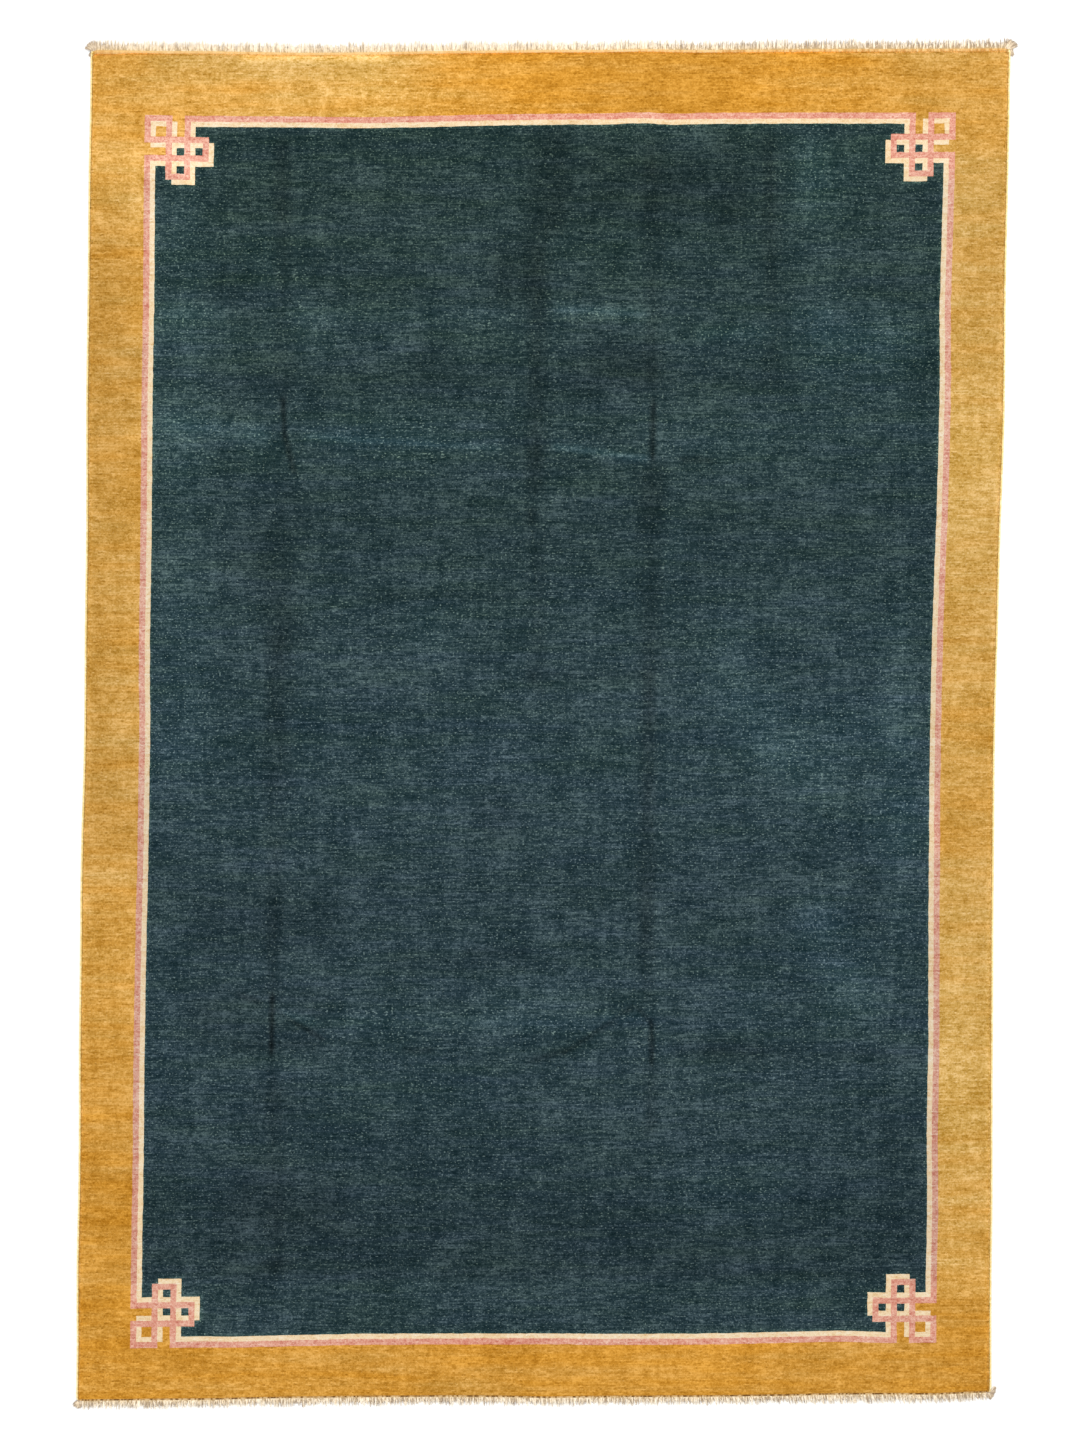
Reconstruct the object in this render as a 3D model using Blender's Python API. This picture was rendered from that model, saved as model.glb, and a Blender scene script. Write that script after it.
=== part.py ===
"""Knotted pile rug lying on a floor, as solids in metres, +Z up.

The rug lies face up with its underside on z = 0. +X runs across its width and +Y along its
length. The origin is the middle of the footprint, corner tails of the fringe included.

Five pieces: the knotted carpet, the overcast cord of each long edge, and the flat-woven
strip with its warp fringe at each end.

Places on the carpet are given in loom fractions: s runs from -1 at the left edge to +1 at
the right edge, t from -1 at the bottom end to +1 at the top end. The function lay turns them
into x and y, with the lean, the waist and the uneven edges of hand weaving.
"""
import math

import bmesh
import bpy
from mathutils import Vector

MM = 0.001

# Footprint of the knotted cloth.
WIDTH_TOP = 2.003
WIDTH_MIDDLE = 1.981
WIDTH_BOTTOM = 1.988
HALF_LENGTH = 1.4717
LEAN = 19.1 * MM            # how far the centre line has moved right at the top end
SWAY = 3.8 * MM             # bend of the centre line
ORIGIN_SHIFT = (-8.01 * MM, 0.91 * MM)   # brings the middle of the whole footprint to the origin

# Ends of the cloth: slope, bow and the soft dip left of the middle of the top end.
TOP_SLOPE = 1.5 * MM
TOP_BOW = 2.0 * MM
TOP_DIP = 6.0 * MM
TOP_DIP_AT = -0.5
TOP_DIP_BREADTH = 0.42
BOTTOM_SLOPE = 5.6 * MM
BOTTOM_TWIST = 2.6 * MM

# Small waves of the long edges: height, number of waves along the rug, start angle.
LEFT_WAVES = ((1.1 * MM, 2.3, 0.4), (0.6 * MM, 6.1, 2.0))
RIGHT_WAVES = ((1.0 * MM, 2.9, 1.7), (0.7 * MM, 5.3, 0.2))

# Where folding has pushed the right edge out, and drawn it in between the two cross folds:
# place along the rug, half breadth, how far out.
RIGHT_SWELLS = ((0.40, 0.38, 5.8 * MM), (0.00, 0.20, -1.8 * MM), (-0.46, 0.20, 2.6 * MM))

# Eased corners of the cloth.
CORNER_EASE = 2.0 * MM
CORNER_S = 0.992
CORNER_T = 0.9945

# Build-up of the cloth.
GROUND_THICKNESS = 3.2 * MM
CLOTH_THICKNESS = 9.0 * MM

# Levels of the rim: height, then how far the edge is drawn in at the long sides, at the top
# end and at the bottom end. The pile leans towards the bottom end and overhangs there.
RIM_LEVELS = (
    # height             sides      top end    bottom end
    (GROUND_THICKNESS,   0.0 * MM,  0.0 * MM,  0.0 * MM),
    (5.6 * MM,           0.2 * MM,  1.6 * MM, -1.3 * MM),
    (8.1 * MM,           1.4 * MM,  4.0 * MM, -0.6 * MM),
    (CLOTH_THICKNESS,    3.6 * MM,  7.0 * MM,  2.4 * MM),
)

# Fold marks, each a soft raised ridge that the cloth keeps from being stored folded. A long
# fold runs up the rug at one s, a cross fold runs across it at one t.
# name, place, start and end of its run, half breadth, lift
LONG_FOLDS = (
    ("left long fold",       -0.567, -0.91, 0.90, 58 * MM, 5.0 * MM),
    ("middle long fold",      0.000,  0.02, 0.92, 52 * MM, 4.0 * MM),
    ("right long fold",       0.246, -0.62, 0.55, 50 * MM, 4.5 * MM),
    ("short right fold",      0.495,  0.42, 0.91, 48 * MM, 2.5 * MM),
)
CROSS_FOLDS = (
    ("upper cross fold",      0.420, -0.86, 0.30, 62 * MM, 6.0 * MM),
    ("lower cross fold",     -0.442, -0.66, 0.30, 56 * MM, 5.0 * MM),
    ("short upper fold",      0.602, -0.24, 0.18, 46 * MM, 3.0 * MM),
)
FADE = 0.16                 # share of a fold's run over which it rises from the floor

# Spacing of the cloth's mesh.
COLUMN_SPACING = 0.13
ROW_SPACING = 0.12
FOLD_STATIONS = (-1.0, -0.55, -0.2, 0.2, 0.55, 1.0)

# Edge cords and end strips, laid a hair's breadth from the cloth.
GAP = 0.3 * MM
CORD_RADIUS = 2.7 * MM
STRIP_WIDTH = 3.8 * MM
STRIP_HEIGHT = 2.4 * MM

# Fringe locks.
LOCKS_PER_END = 130
LOCK_LENGTHS = {1: 14.8 * MM, -1: 12.8 * MM}     # top end, bottom end
LOCK_LENGTH_SPREAD = 1.3 * MM
LOCK_SLANT = 2.4 * MM
LOCK_SPREAD = 1.1 * MM
ROOT_SHARE = 0.74           # share of a lock's pitch that its root takes up
LOCK_RINGS = (
    # along, breadth, height
    (0.55, 0.80, 1.10),
    (1.00, 0.34, 0.45),
)

# Corner tails: length, heading where they leave the strip and where they end, in degrees.
# 90 points along the fringe, 0 straight out sideways, -90 back beside the carpet.
CORNER_TAILS = {
    # (end, side)  length      start  finish
    (1, -1): (33.0 * MM, 66.0, -14.0),
    (1, 1): (41.0 * MM, 80.0, -100.0),
    (-1, -1): (32.0 * MM, 80.0, -64.0),
    (-1, 1): (35.0 * MM, 84.0, -112.0),
}
TAIL_RINGS = (
    # breadth, height
    (8.0 * MM, 3.2 * MM),
    (11.0 * MM, 3.6 * MM),
    (9.0 * MM, 3.2 * MM),
    (4.0 * MM, 1.6 * MM),
)

# Colours of the plain solids.
GOLD_WOOL = (0.66, 0.37, 0.09, 1.0)
GOLD_OVERCAST = (0.80, 0.55, 0.22, 1.0)
RAW_WARP = (0.80, 0.72, 0.62, 1.0)


def material(name, colour, roughness):
    """Return a Principled material of one colour."""
    made = bpy.data.materials.new(name)
    made.use_nodes = True
    shader = made.node_tree.nodes["Principled BSDF"]
    shader.inputs["Base Color"].default_value = colour
    shader.inputs["Roughness"].default_value = roughness
    shader.inputs["Metallic"].default_value = 0.0
    made.diffuse_color = colour
    return made


def bell(distance):
    """Soft bump: 1 at distance 0, falling smoothly to 0 at distance 1."""
    if abs(distance) >= 1.0:
        return 0.0
    return 0.5 + 0.5 * math.cos(math.pi * distance)


def wave(waves, t):
    """Sum of small sine waves at t."""
    return sum(height * math.sin(math.pi * count * t + start) for height, count, start in waves)


def edge_drift(s, t):
    """How far the long edge on the side of s strays to +X at t."""
    if s <= 0.0:
        return wave(LEFT_WAVES, t)
    swell = sum(reach * bell((t - place) / breadth) for place, breadth, reach in RIGHT_SWELLS)
    return wave(RIGHT_WAVES, t) + swell


def half_width(t):
    """Half the width of the cloth at t."""
    bend = 0.5 * (WIDTH_TOP + WIDTH_BOTTOM) - WIDTH_MIDDLE
    slope = 0.5 * (WIDTH_TOP - WIDTH_BOTTOM)
    return 0.5 * (WIDTH_MIDDLE + slope * t + bend * t * t)


def top_line(s):
    """Height along Y of the top end at s."""
    dip = TOP_DIP * bell((s - TOP_DIP_AT) / TOP_DIP_BREADTH)
    return HALF_LENGTH + TOP_SLOPE * s + TOP_BOW * s * s - dip


def bottom_line(s):
    """Height along Y of the bottom end at s."""
    return -HALF_LENGTH + BOTTOM_SLOPE * s + BOTTOM_TWIST * s ** 3


def corner_share(s, t):
    """1 at a corner of the cloth, falling to 0 a short way along each edge."""
    across = max(0.0, abs(s) - CORNER_S) / (1.0 - CORNER_S)
    along = max(0.0, abs(t) - CORNER_T) / (1.0 - CORNER_T)
    return across * along


def lay(s, t):
    """Plan position (x, y) of the loom place s, t."""
    x = LEAN * t + SWAY * t * t + s * half_width(t) + edge_drift(s, t) * s * s
    y = 0.5 * (1.0 + t) * top_line(s) + 0.5 * (1.0 - t) * bottom_line(s)
    ease = CORNER_EASE * corner_share(s, t)
    x -= math.copysign(ease, s)
    y -= math.copysign(ease, t)
    return x + ORIGIN_SHIFT[0], y + ORIGIN_SHIFT[1]


def fold_rise(run, start, end):
    """How far a fold has risen at this place of its run, 0 to 1."""
    share = (run - start) / (end - start)
    if share <= 0.0 or share >= 1.0:
        return 0.0
    ramp = min(1.0, share / FADE, (1.0 - share) / FADE)
    return ramp * ramp * (3.0 - 2.0 * ramp)


def lift(s, t):
    """Height of the underside above the floor at s, t."""
    long_rise = 0.0
    for _, place, start, end, breadth, rise in LONG_FOLDS:
        distance = (s - place) * 0.5 * WIDTH_MIDDLE / breadth
        long_rise += rise * bell(distance) * fold_rise(t, start, end)
    cross_rise = 0.0
    for _, place, start, end, breadth, rise in CROSS_FOLDS:
        distance = (t - place) * HALF_LENGTH / breadth
        cross_rise += rise * bell(distance) * fold_rise(s, start, end)
    return math.hypot(long_rise, cross_rise)


def stations(folds, half_span, corner, spacing):
    """Mesh lines from -1 to 1, close together at each fold and evenly spread between."""
    lines = [-1.0, -corner, corner, 1.0]
    for _, place, _, _, breadth, _ in folds:
        lines += [place + step * breadth / half_span for step in FOLD_STATIONS]
    lines.sort()
    spread = []
    for near, far in zip(lines, lines[1:]):
        steps = max(1, math.ceil((far - near) / spacing))
        spread += [near + (far - near) * step / steps for step in range(steps)]
    return spread + [1.0]


COLUMNS = stations(LONG_FOLDS, 0.5 * WIDTH_MIDDLE, CORNER_S, COLUMN_SPACING)
ROWS = stations(CROSS_FOLDS, HALF_LENGTH, CORNER_T, ROW_SPACING)


def end_edge(s, end):
    """Point of the cloth's end edge at s, on the straight run between two mesh lines."""
    for near, far in zip(COLUMNS, COLUMNS[1:]):
        if s <= far:
            break
    first = Vector(lay(near, end))
    last = Vector(lay(far, end))
    return first.lerp(last, (s - near) / (far - near))


def finish(mesh, name, look):
    """Turn a bmesh into a named object with one material, faces outwards."""
    bmesh.ops.recalc_face_normals(mesh, faces=mesh.faces)
    data = bpy.data.meshes.new(name)
    mesh.to_mesh(data)
    mesh.free()
    data.materials.append(look)
    made = bpy.data.objects.new(name, data)
    bpy.context.collection.objects.link(made)
    return made


def carpet(look):
    """Knotted cloth: a grid extruded level by level up to the pile's face."""
    mesh = bmesh.new()
    column = mesh.verts.layers.int.new("column")
    row = mesh.verts.layers.int.new("row")
    grid = []
    for i, s in enumerate(COLUMNS):
        line = []
        for j, t in enumerate(ROWS):
            vert = mesh.verts.new((*lay(s, t), lift(s, t)))
            vert[column] = i
            vert[row] = j
            line.append(vert)
        grid.append(line)
    for left, right in zip(grid, grid[1:]):
        for j in range(len(ROWS) - 1):
            mesh.faces.new((left[j], left[j + 1], right[j + 1], right[j]))
    sheet = [*mesh.verts, *mesh.edges, *mesh.faces]
    for height, side_inset, top_inset, bottom_inset in RIM_LEVELS:
        sheet = bmesh.ops.extrude_face_region(mesh, geom=sheet)["geom"]
        for vert in (item for item in sheet if isinstance(item, bmesh.types.BMVert)):
            s = COLUMNS[vert[column]]
            t = ROWS[vert[row]]
            x, y = lay(s, t)
            if abs(s) == 1.0:
                x -= s * side_inset
            if t == 1.0:
                y -= top_inset
            if t == -1.0:
                y += bottom_inset
            vert.co = (x, y, lift(s, t) + height)
    return finish(mesh, "carpet", look)


def edge_cord(name, side, look):
    """Overcast cord that follows one long edge, eight-sided, flat where it meets the floor."""
    corner = CORD_RADIUS * math.tan(math.pi / 8.0)
    section = []
    for turn in range(4):
        angle = 0.5 * math.pi * turn
        for step in (-corner, corner):
            section.append((
                CORD_RADIUS * math.cos(angle) - step * math.sin(angle),
                CORD_RADIUS * math.sin(angle) + step * math.cos(angle),
            ))
    mesh = bmesh.new()
    rings = []
    for t in ROWS:
        x, y = lay(side, t)
        x += side * (GAP + CORD_RADIUS)
        rings.append([mesh.verts.new((x + across, y, CORD_RADIUS + up)) for across, up in section])
    for near, far in zip(rings, rings[1:]):
        for k in range(len(section)):
            mesh.faces.new((near[k - 1], near[k], far[k], far[k - 1]))
    mesh.faces.new(rings[0])
    mesh.faces.new(rings[-1])
    return finish(mesh, name, look)


def vary(index, salt):
    """Repeatable variation from -1 to 1 for the lock of this index."""
    return math.sin(index * 12.9898 + salt * 4.1414) * math.cos(index * 3.233 + salt)


def grow(mesh, face, rings):
    """Extrude one face through a run of rings of four points."""
    for ring in rings:
        face = bmesh.ops.extrude_discrete_faces(mesh, faces=[face])["faces"][0]
        for vert, point in zip(face.verts, ring):
            vert.co = point


def lock_rings(root, end, index):
    """Rings of one fringe lock, from its root on the strip to its tip."""
    left, right = root
    middle = (left + right) * 0.5
    breadth = (right - left).length
    length = LOCK_LENGTHS[end] + LOCK_LENGTH_SPREAD * vary(index, 1.0)
    slant = LOCK_SLANT * math.sin(index * 0.19 + end) + LOCK_SPREAD * vary(index, 2.0)
    rings = []
    for along, narrow, tall in LOCK_RINGS:
        centre = middle + Vector((slant * along * along, end * length * along))
        half = 0.5 * breadth * narrow
        height = STRIP_HEIGHT * tall
        rings.append((
            (centre.x - half, centre.y, 0.0),
            (centre.x + half, centre.y, 0.0),
            (centre.x + 0.7 * half, centre.y, height),
            (centre.x - 0.7 * half, centre.y, height),
        ))
    return rings


def tail_rings(root, end, side):
    """Rings of one corner tail, which turns steadily as it leaves the strip."""
    length, start, finish_heading = CORNER_TAILS[end, side]
    centre = root.copy()
    step = length / len(TAIL_RINGS)
    rings = []
    for k, (breadth, height) in enumerate(TAIL_RINGS):
        share = (k + 0.5) / len(TAIL_RINGS)
        heading = math.radians(start + (finish_heading - start) * share)
        centre += Vector((side * math.cos(heading), end * math.sin(heading))) * step
        inner = Vector((side * math.sin(heading), -end * math.cos(heading))) * 0.5 * breadth
        near = centre + inner
        far = centre - inner
        rings.append((
            (near.x, near.y, 0.0),
            (far.x, far.y, 0.0),
            (far.x, far.y, height),
            (near.x, near.y, height),
        ))
    return rings


def fringe(name, end, look):
    """Flat-woven end strip with its locks and its two corner tails, as one body."""
    pitch = 2.0 * CORNER_S / (LOCKS_PER_END - 1 + ROOT_SHARE)
    places = [-1.0]
    for index in range(LOCKS_PER_END):
        start = -CORNER_S + pitch * index
        places += [start, start + pitch * ROOT_SHARE]
    places.append(1.0)

    mesh = bmesh.new()
    inner = []
    outer = []
    for s in places:
        point = end_edge(s, end)
        near = point + Vector((0.0, end * GAP))
        far = near + Vector((0.0, end * STRIP_WIDTH))
        inner.append([mesh.verts.new((near.x, near.y, z)) for z in (0.0, STRIP_HEIGHT)])
        outer.append([mesh.verts.new((far.x, far.y, z)) for z in (0.0, STRIP_HEIGHT)])

    roots = []
    for k in range(len(places) - 1):
        a, b = inner[k], inner[k + 1]
        c, d = outer[k], outer[k + 1]
        mesh.faces.new((a[0], b[0], d[0], c[0]))
        mesh.faces.new((a[1], c[1], d[1], b[1]))
        mesh.faces.new((a[0], a[1], b[1], b[0]))
        wall = mesh.faces.new((c[0], d[0], d[1], c[1]))
        if k % 2 == 1:
            roots.append((wall, (c[0].co.xy, d[0].co.xy)))
    left_wall = mesh.faces.new((inner[0][0], outer[0][0], outer[0][1], inner[0][1]))
    right_wall = mesh.faces.new((inner[-1][0], outer[-1][0], outer[-1][1], inner[-1][1]))

    for index, (wall, root) in enumerate(roots):
        grow(mesh, wall, lock_rings(root, end, index))
    for wall, side, corner in ((left_wall, -1, 0), (right_wall, 1, -1)):
        root = (inner[corner][0].co.xy + outer[corner][0].co.xy) * 0.5
        grow(mesh, wall, tail_rings(root, end, side))
    return finish(mesh, name, look)


def main():
    for old in list(bpy.data.objects):
        bpy.data.objects.remove(old, do_unlink=True)
    carpet(material("gold and blue wool pile", GOLD_WOOL, 0.95))
    overcast = material("gold overcast wool", GOLD_OVERCAST, 0.9)
    edge_cord("selvedge_left", -1.0, overcast)
    edge_cord("selvedge_right", 1.0, overcast)
    warp = material("undyed warp yarn", RAW_WARP, 0.9)
    fringe("fringe_top", 1, warp)
    fringe("fringe_bottom", -1, warp)


main()
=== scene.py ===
"""A hand-knotted pile rug laid flat, face up, on a pale floor.

The rug is built the way it is woven: a ground sheet, four yarns of pile standing on it, an
overcast cord on each long edge, and a flat-woven strip with its warp fringe at each end.

Places on the cloth are loom fractions: s runs from -1 at the left edge to +1 at the right
edge, t from -1 at the bottom end to +1 at the top end. Sizes are in metres, +Z up.
"""
from __future__ import annotations

import logging
import math
from dataclasses import dataclass, field
from enum import IntEnum

import bpy
import numpy as np
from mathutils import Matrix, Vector


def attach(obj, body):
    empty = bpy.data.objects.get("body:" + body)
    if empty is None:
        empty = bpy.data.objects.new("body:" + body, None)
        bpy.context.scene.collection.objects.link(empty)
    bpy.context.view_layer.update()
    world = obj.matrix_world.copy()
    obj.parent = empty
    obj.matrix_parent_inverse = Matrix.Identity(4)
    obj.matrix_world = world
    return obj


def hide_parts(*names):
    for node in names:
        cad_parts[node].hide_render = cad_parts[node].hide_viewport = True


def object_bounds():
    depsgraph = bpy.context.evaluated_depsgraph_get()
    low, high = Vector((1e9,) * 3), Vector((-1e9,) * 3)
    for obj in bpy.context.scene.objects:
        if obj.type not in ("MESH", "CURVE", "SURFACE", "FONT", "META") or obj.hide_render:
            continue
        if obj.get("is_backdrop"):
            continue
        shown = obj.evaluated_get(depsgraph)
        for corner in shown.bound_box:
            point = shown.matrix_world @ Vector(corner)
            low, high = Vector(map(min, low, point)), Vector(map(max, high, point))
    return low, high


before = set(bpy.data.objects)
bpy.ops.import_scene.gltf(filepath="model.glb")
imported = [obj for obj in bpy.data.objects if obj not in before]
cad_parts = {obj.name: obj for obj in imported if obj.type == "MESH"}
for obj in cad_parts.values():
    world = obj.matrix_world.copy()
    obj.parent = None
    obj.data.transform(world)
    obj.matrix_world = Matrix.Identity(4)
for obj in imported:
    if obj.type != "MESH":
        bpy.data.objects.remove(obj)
CAD_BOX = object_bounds()

MM = 0.001
BAKE_MAP = "OFBake"
ROOM_LIGHT = 0.757     # share of a card's colour that a wool needs in this bright room
LOG = logging.getLogger("rug")
Array = np.ndarray
Colour = tuple[float, float, float]


class Yarn(IntEnum):
    """The four dyed yarns of the pile."""

    GOLD = 0
    TEAL = 1
    ROSE = 2
    CREAM = 3


class End(IntEnum):
    """The two woven ends of the rug."""

    BOTTOM = -1
    TOP = 1


class Seed(IntEnum):
    """Sets of random numbers, for what is left to chance in the yarns.

    Where a piece comes once for each end or side, that end's or side's number is added.
    """

    CLIPPING_BROAD = 3
    CLIPPING_MIDDLE = 4
    CLIPPING_FINE = 5
    JOG_ACROSS = 8
    JOG_ALONG = 9
    TUFTS = 12
    STRIP = 20
    CORD_SWELL = 30
    STROKES = 41
    FRINGE_LEAN = 50
    FRINGE_LENGTH = 60
    CORD = 70
    FRINGE = 90


# ---------------------------------------------------------------------------------------
# Shapes shared by all pieces
# ---------------------------------------------------------------------------------------


def smooth(share: Array) -> Array:
    """Ease a share from 0 to 1 in and out."""
    share = np.clip(share, 0.0, 1.0)
    return share * share * (3.0 - 2.0 * share)


def dye(red: float, green: float, blue: float) -> Colour:
    """Colour of dyed wool, given in the 0 to 255 steps of a dye card.

    Args:
        red: red step.
        green: green step.
        blue: blue step.

    Returns:
        The reflectance of the wool in the room's light.
    """
    steps = (part / 255.0 for part in (red, green, blue))
    return tuple(ROOM_LIGHT * ((part + 0.055) / 1.055) ** 2.4 for part in steps)


def bell(distance: Array) -> Array:
    """Soft bump: 1 at distance 0, falling smoothly to 0 at distance 1."""
    return 0.5 + 0.5 * np.cos(np.pi * np.clip(np.abs(distance), 0.0, 1.0))


def wool_noise(x: Array, y: Array, size: tuple[float, float], seed: int) -> Array:
    """Repeatable smooth lumps over the rug's plan.

    Args:
        x: places across the rug.
        y: places along the rug.
        size: breadth of one lump across and along the rug.
        seed: which set of lumps.

    Returns:
        Heights from -1 to 1, shaped as x.
    """
    reach = 1.8     # the lumps cover this far to each side of the rug's middle
    cells = [int(2.0 * reach / part) + 3 for part in size]
    lattice = np.random.default_rng(seed).uniform(-1.0, 1.0, cells)
    u = (np.asarray(x) + reach) / size[0]
    v = (np.asarray(y) + reach) / size[1]
    i = np.floor(u).astype(int)
    j = np.floor(v).astype(int)
    a = smooth(u - i)
    b = smooth(v - j)
    low = lattice[i, j] * (1.0 - a) + lattice[i + 1, j] * a
    high = lattice[i, j + 1] * (1.0 - a) + lattice[i + 1, j + 1] * a
    return low * (1.0 - b) + high * b


@dataclass(frozen=True)
class Fold:
    """A soft ridge, straight along or straight across the rug, kept from storing it folded."""

    place: float
    start: float
    end: float
    breadth: float
    rise: float
    fade: float = 0.16

    def height(self, across: Array, run: Array, half_span: float) -> Array:
        """Height of the ridge.

        Args:
            across: loom fraction measured across the ridge.
            run: loom fraction measured along the ridge.
            half_span: half the rug's size in the direction of across.

        Returns:
            Height in metres.
        """
        share = (run - self.start) / (self.end - self.start)
        ramp = smooth(np.minimum(share, 1.0 - share) / self.fade)
        return self.rise * ramp * bell((across - self.place) * half_span / self.breadth)


@dataclass(frozen=True)
class Loom:
    """The woven outline: how a loom place lies on the floor, and how high it lies.

    The guard and edge tables give how far a guard or an edge strays from its weaving line:
    place in metres along it, then millimetres along X for the sides or Y for the ends. The
    guard_inner to brink_rise pairs hold, for the sides and then for the ends, the loom
    fractions where these strays set in and the breadth over which they come and go. The
    waves give a bow's turns along s and t and its start.
    """

    width_top: float = 2.003
    width_middle: float = 1.981
    width_bottom: float = 1.988
    half_length: float = 1.4717
    lean: float = 19.1 * MM
    sway: float = 3.8 * MM
    shift: tuple[float, float] = (-8.01 * MM, 0.91 * MM)
    top_slope: float = 1.5 * MM
    top_bow: float = 2.0 * MM
    top_dip: float = 6.0 * MM
    top_dip_at: float = -0.5
    top_dip_breadth: float = 0.42
    bottom_slope: float = 5.6 * MM
    bottom_twist: float = 2.6 * MM
    left_waves: tuple[tuple[float, float, float], ...] = (
        (1.1 * MM, 2.3, 0.4), (0.6 * MM, 6.1, 2.0))
    right_waves: tuple[tuple[float, float, float], ...] = (
        (1.0 * MM, 2.9, 1.7), (0.7 * MM, 5.3, 0.2))
    right_swells: tuple[tuple[float, float, float], ...] = (
        (0.40, 0.38, 5.8 * MM), (0.00, 0.20, -1.8 * MM), (-0.46, 0.20, 2.6 * MM))
    corner_ease: float = 2.0 * MM
    corner_s: float = 0.992
    corner_t: float = 0.9945
    worn_corner: float = 3.2 * MM
    worn_from: float = -0.90
    worn_over: float = 0.06
    ground: float = 3.2 * MM
    cloth: float = 9.0 * MM
    gap: float = 0.3 * MM
    cord_radius: float = 2.7 * MM
    row_bow: float = 1.6 * MM
    row_wave: tuple[float, float, float] = (5.3, 2.4, 1.3)
    column_bow: float = 1.3 * MM
    column_wave: tuple[float, float] = (2.0, 7.1)
    guard_inner: tuple[float, float] = (0.5, 0.65)
    guard_rise: tuple[float, float] = (0.2, 0.15)
    guard_outer: tuple[float, float] = (0.105, 0.07)
    brink: tuple[float, float] = (0.89, 0.965)
    brink_rise: tuple[float, float] = (0.09, 0.03)
    left_guard: tuple[tuple[float, float], ...] = (
        (-1.2, -4.0), (-1.1, -5.1), (-0.55, -4.8), (-0.42, -2.9), (-0.3, -0.4), (0.0, -0.8),
        (0.1, -2.9), (0.45, -3.4), (0.7, -2.2), (0.95, -0.8), (1.2, -0.8))
    right_guard: tuple[tuple[float, float], ...] = (
        (-1.2, 2.6), (-1.07, 4.0), (-0.9, 2.5), (-0.7, 4.9), (-0.4, 2.9), (-0.1, 1.2),
        (0.2, 0.8), (0.45, 5.1), (0.75, 4.6), (0.9, 2.4), (1.04, 3.8), (1.2, 4.4))
    top_guard: tuple[tuple[float, float], ...] = (
        (-0.75, -1.3), (-0.6, 0.6), (-0.5, 0.6), (-0.4, -1.4), (-0.2, -1.6), (-0.05, 0.5),
        (0.1, 2.1), (0.15, 2.4), (0.18, 4.6), (0.23, 4.0), (0.28, 1.0), (0.36, 2.8),
        (0.6, 2.2), (0.76, 0.8))
    bottom_guard: tuple[tuple[float, float], ...] = (
        (-0.75, -2.8), (-0.68, -3.6), (-0.55, -1.2), (-0.42, 0.8), (-0.28, 1.1), (-0.1, 0.5),
        (0.03, -0.4), (0.12, -2.3), (0.34, -3.5), (0.45, -2.2), (0.58, 0.0), (0.65, 0.8),
        (0.74, -3.2))
    left_edge: tuple[tuple[float, float], ...] = (
        (-1.35, 0.4), (-1.15, -3.2), (-0.85, -2.2), (-0.6, -3.6), (-0.38, -3.4), (-0.1, -1.2),
        (0.4, -1.4), (0.9, -1.0), (1.3, 0.2))
    right_edge: tuple[tuple[float, float], ...] = (
        (-1.35, 2.2), (-1.1, 1.4), (-0.7, 0.2), (0.1, -0.8), (0.6, 0.2), (1.1, 0.6), (1.3, 0.0))
    top_edge: tuple[tuple[float, float], ...] = (
        (-0.94, -2.0), (-0.83, -3.6), (-0.72, -1.6), (-0.41, -0.8), (-0.30, -1.2), (-0.20, -1.8),
        (-0.09, -2.2), (0.01, -1.2), (0.12, -1.4), (0.22, 0.4), (0.33, -2.4), (0.43, -2.0),
        (0.64, -1.2), (0.74, -1.6), (0.85, -1.6), (0.95, -1.2))
    bottom_edge: tuple[tuple[float, float], ...] = (
        (-0.94, -0.3), (-0.72, -1.0), (-0.62, 0.8), (-0.42, 2.0), (-0.20, 2.0), (-0.09, 0.3),
        (0.01, -2.2), (0.12, -1.2), (0.33, -1.5), (0.53, -0.6), (0.64, 1.0), (0.74, 0.4),
        (0.85, -1.3), (0.95, 1.6))
    long_folds: tuple[Fold, ...] = (
        Fold(-0.567, -0.91, 0.90, 58 * MM, 5.0 * MM),
        Fold(0.000, 0.02, 0.92, 52 * MM, 4.0 * MM),
        Fold(0.246, -0.62, 0.55, 50 * MM, 4.5 * MM),
        Fold(0.495, 0.42, 0.91, 48 * MM, 2.5 * MM),
    )
    cross_folds: tuple[Fold, ...] = (
        Fold(0.420, -0.86, 0.30, 62 * MM, 6.0 * MM),
        Fold(-0.442, -0.66, 0.30, 56 * MM, 5.0 * MM),
        Fold(0.602, -0.24, 0.18, 46 * MM, 3.0 * MM),
    )

    def half_width(self, t: Array) -> Array:
        """Half the width of the cloth.

        Args:
            t: fractions along the rug.

        Returns:
            Half widths in metres.
        """
        bend = 0.5 * (self.width_top + self.width_bottom) - self.width_middle
        slope = 0.5 * (self.width_top - self.width_bottom)
        return 0.5 * (self.width_middle + slope * t + bend * t * t)

    def top_line(self, s: Array) -> Array:
        """Height along Y of the top end at s."""
        dip = self.top_dip * bell((s - self.top_dip_at) / self.top_dip_breadth)
        return self.half_length + self.top_slope * s + self.top_bow * s * s - dip

    def bottom_line(self, s: Array) -> Array:
        """Height along Y of the bottom end at s."""
        return -self.half_length + self.bottom_slope * s + self.bottom_twist * s**3

    def left_drift(self, t: Array) -> Array:
        """How far the left edge strays to +X at t."""
        return sum(high * np.sin(np.pi * count * t + start)
                   for high, count, start in self.left_waves)

    def right_drift(self, t: Array) -> Array:
        """How far the right edge strays to +X.

        Args:
            t: fractions along the rug.

        Returns:
            Offsets in metres.
        """
        waves = sum(high * np.sin(np.pi * count * t + start)
                    for high, count, start in self.right_waves)
        return waves + sum(reach * bell((t - place) / breadth)
                           for place, breadth, reach in self.right_swells)

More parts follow.
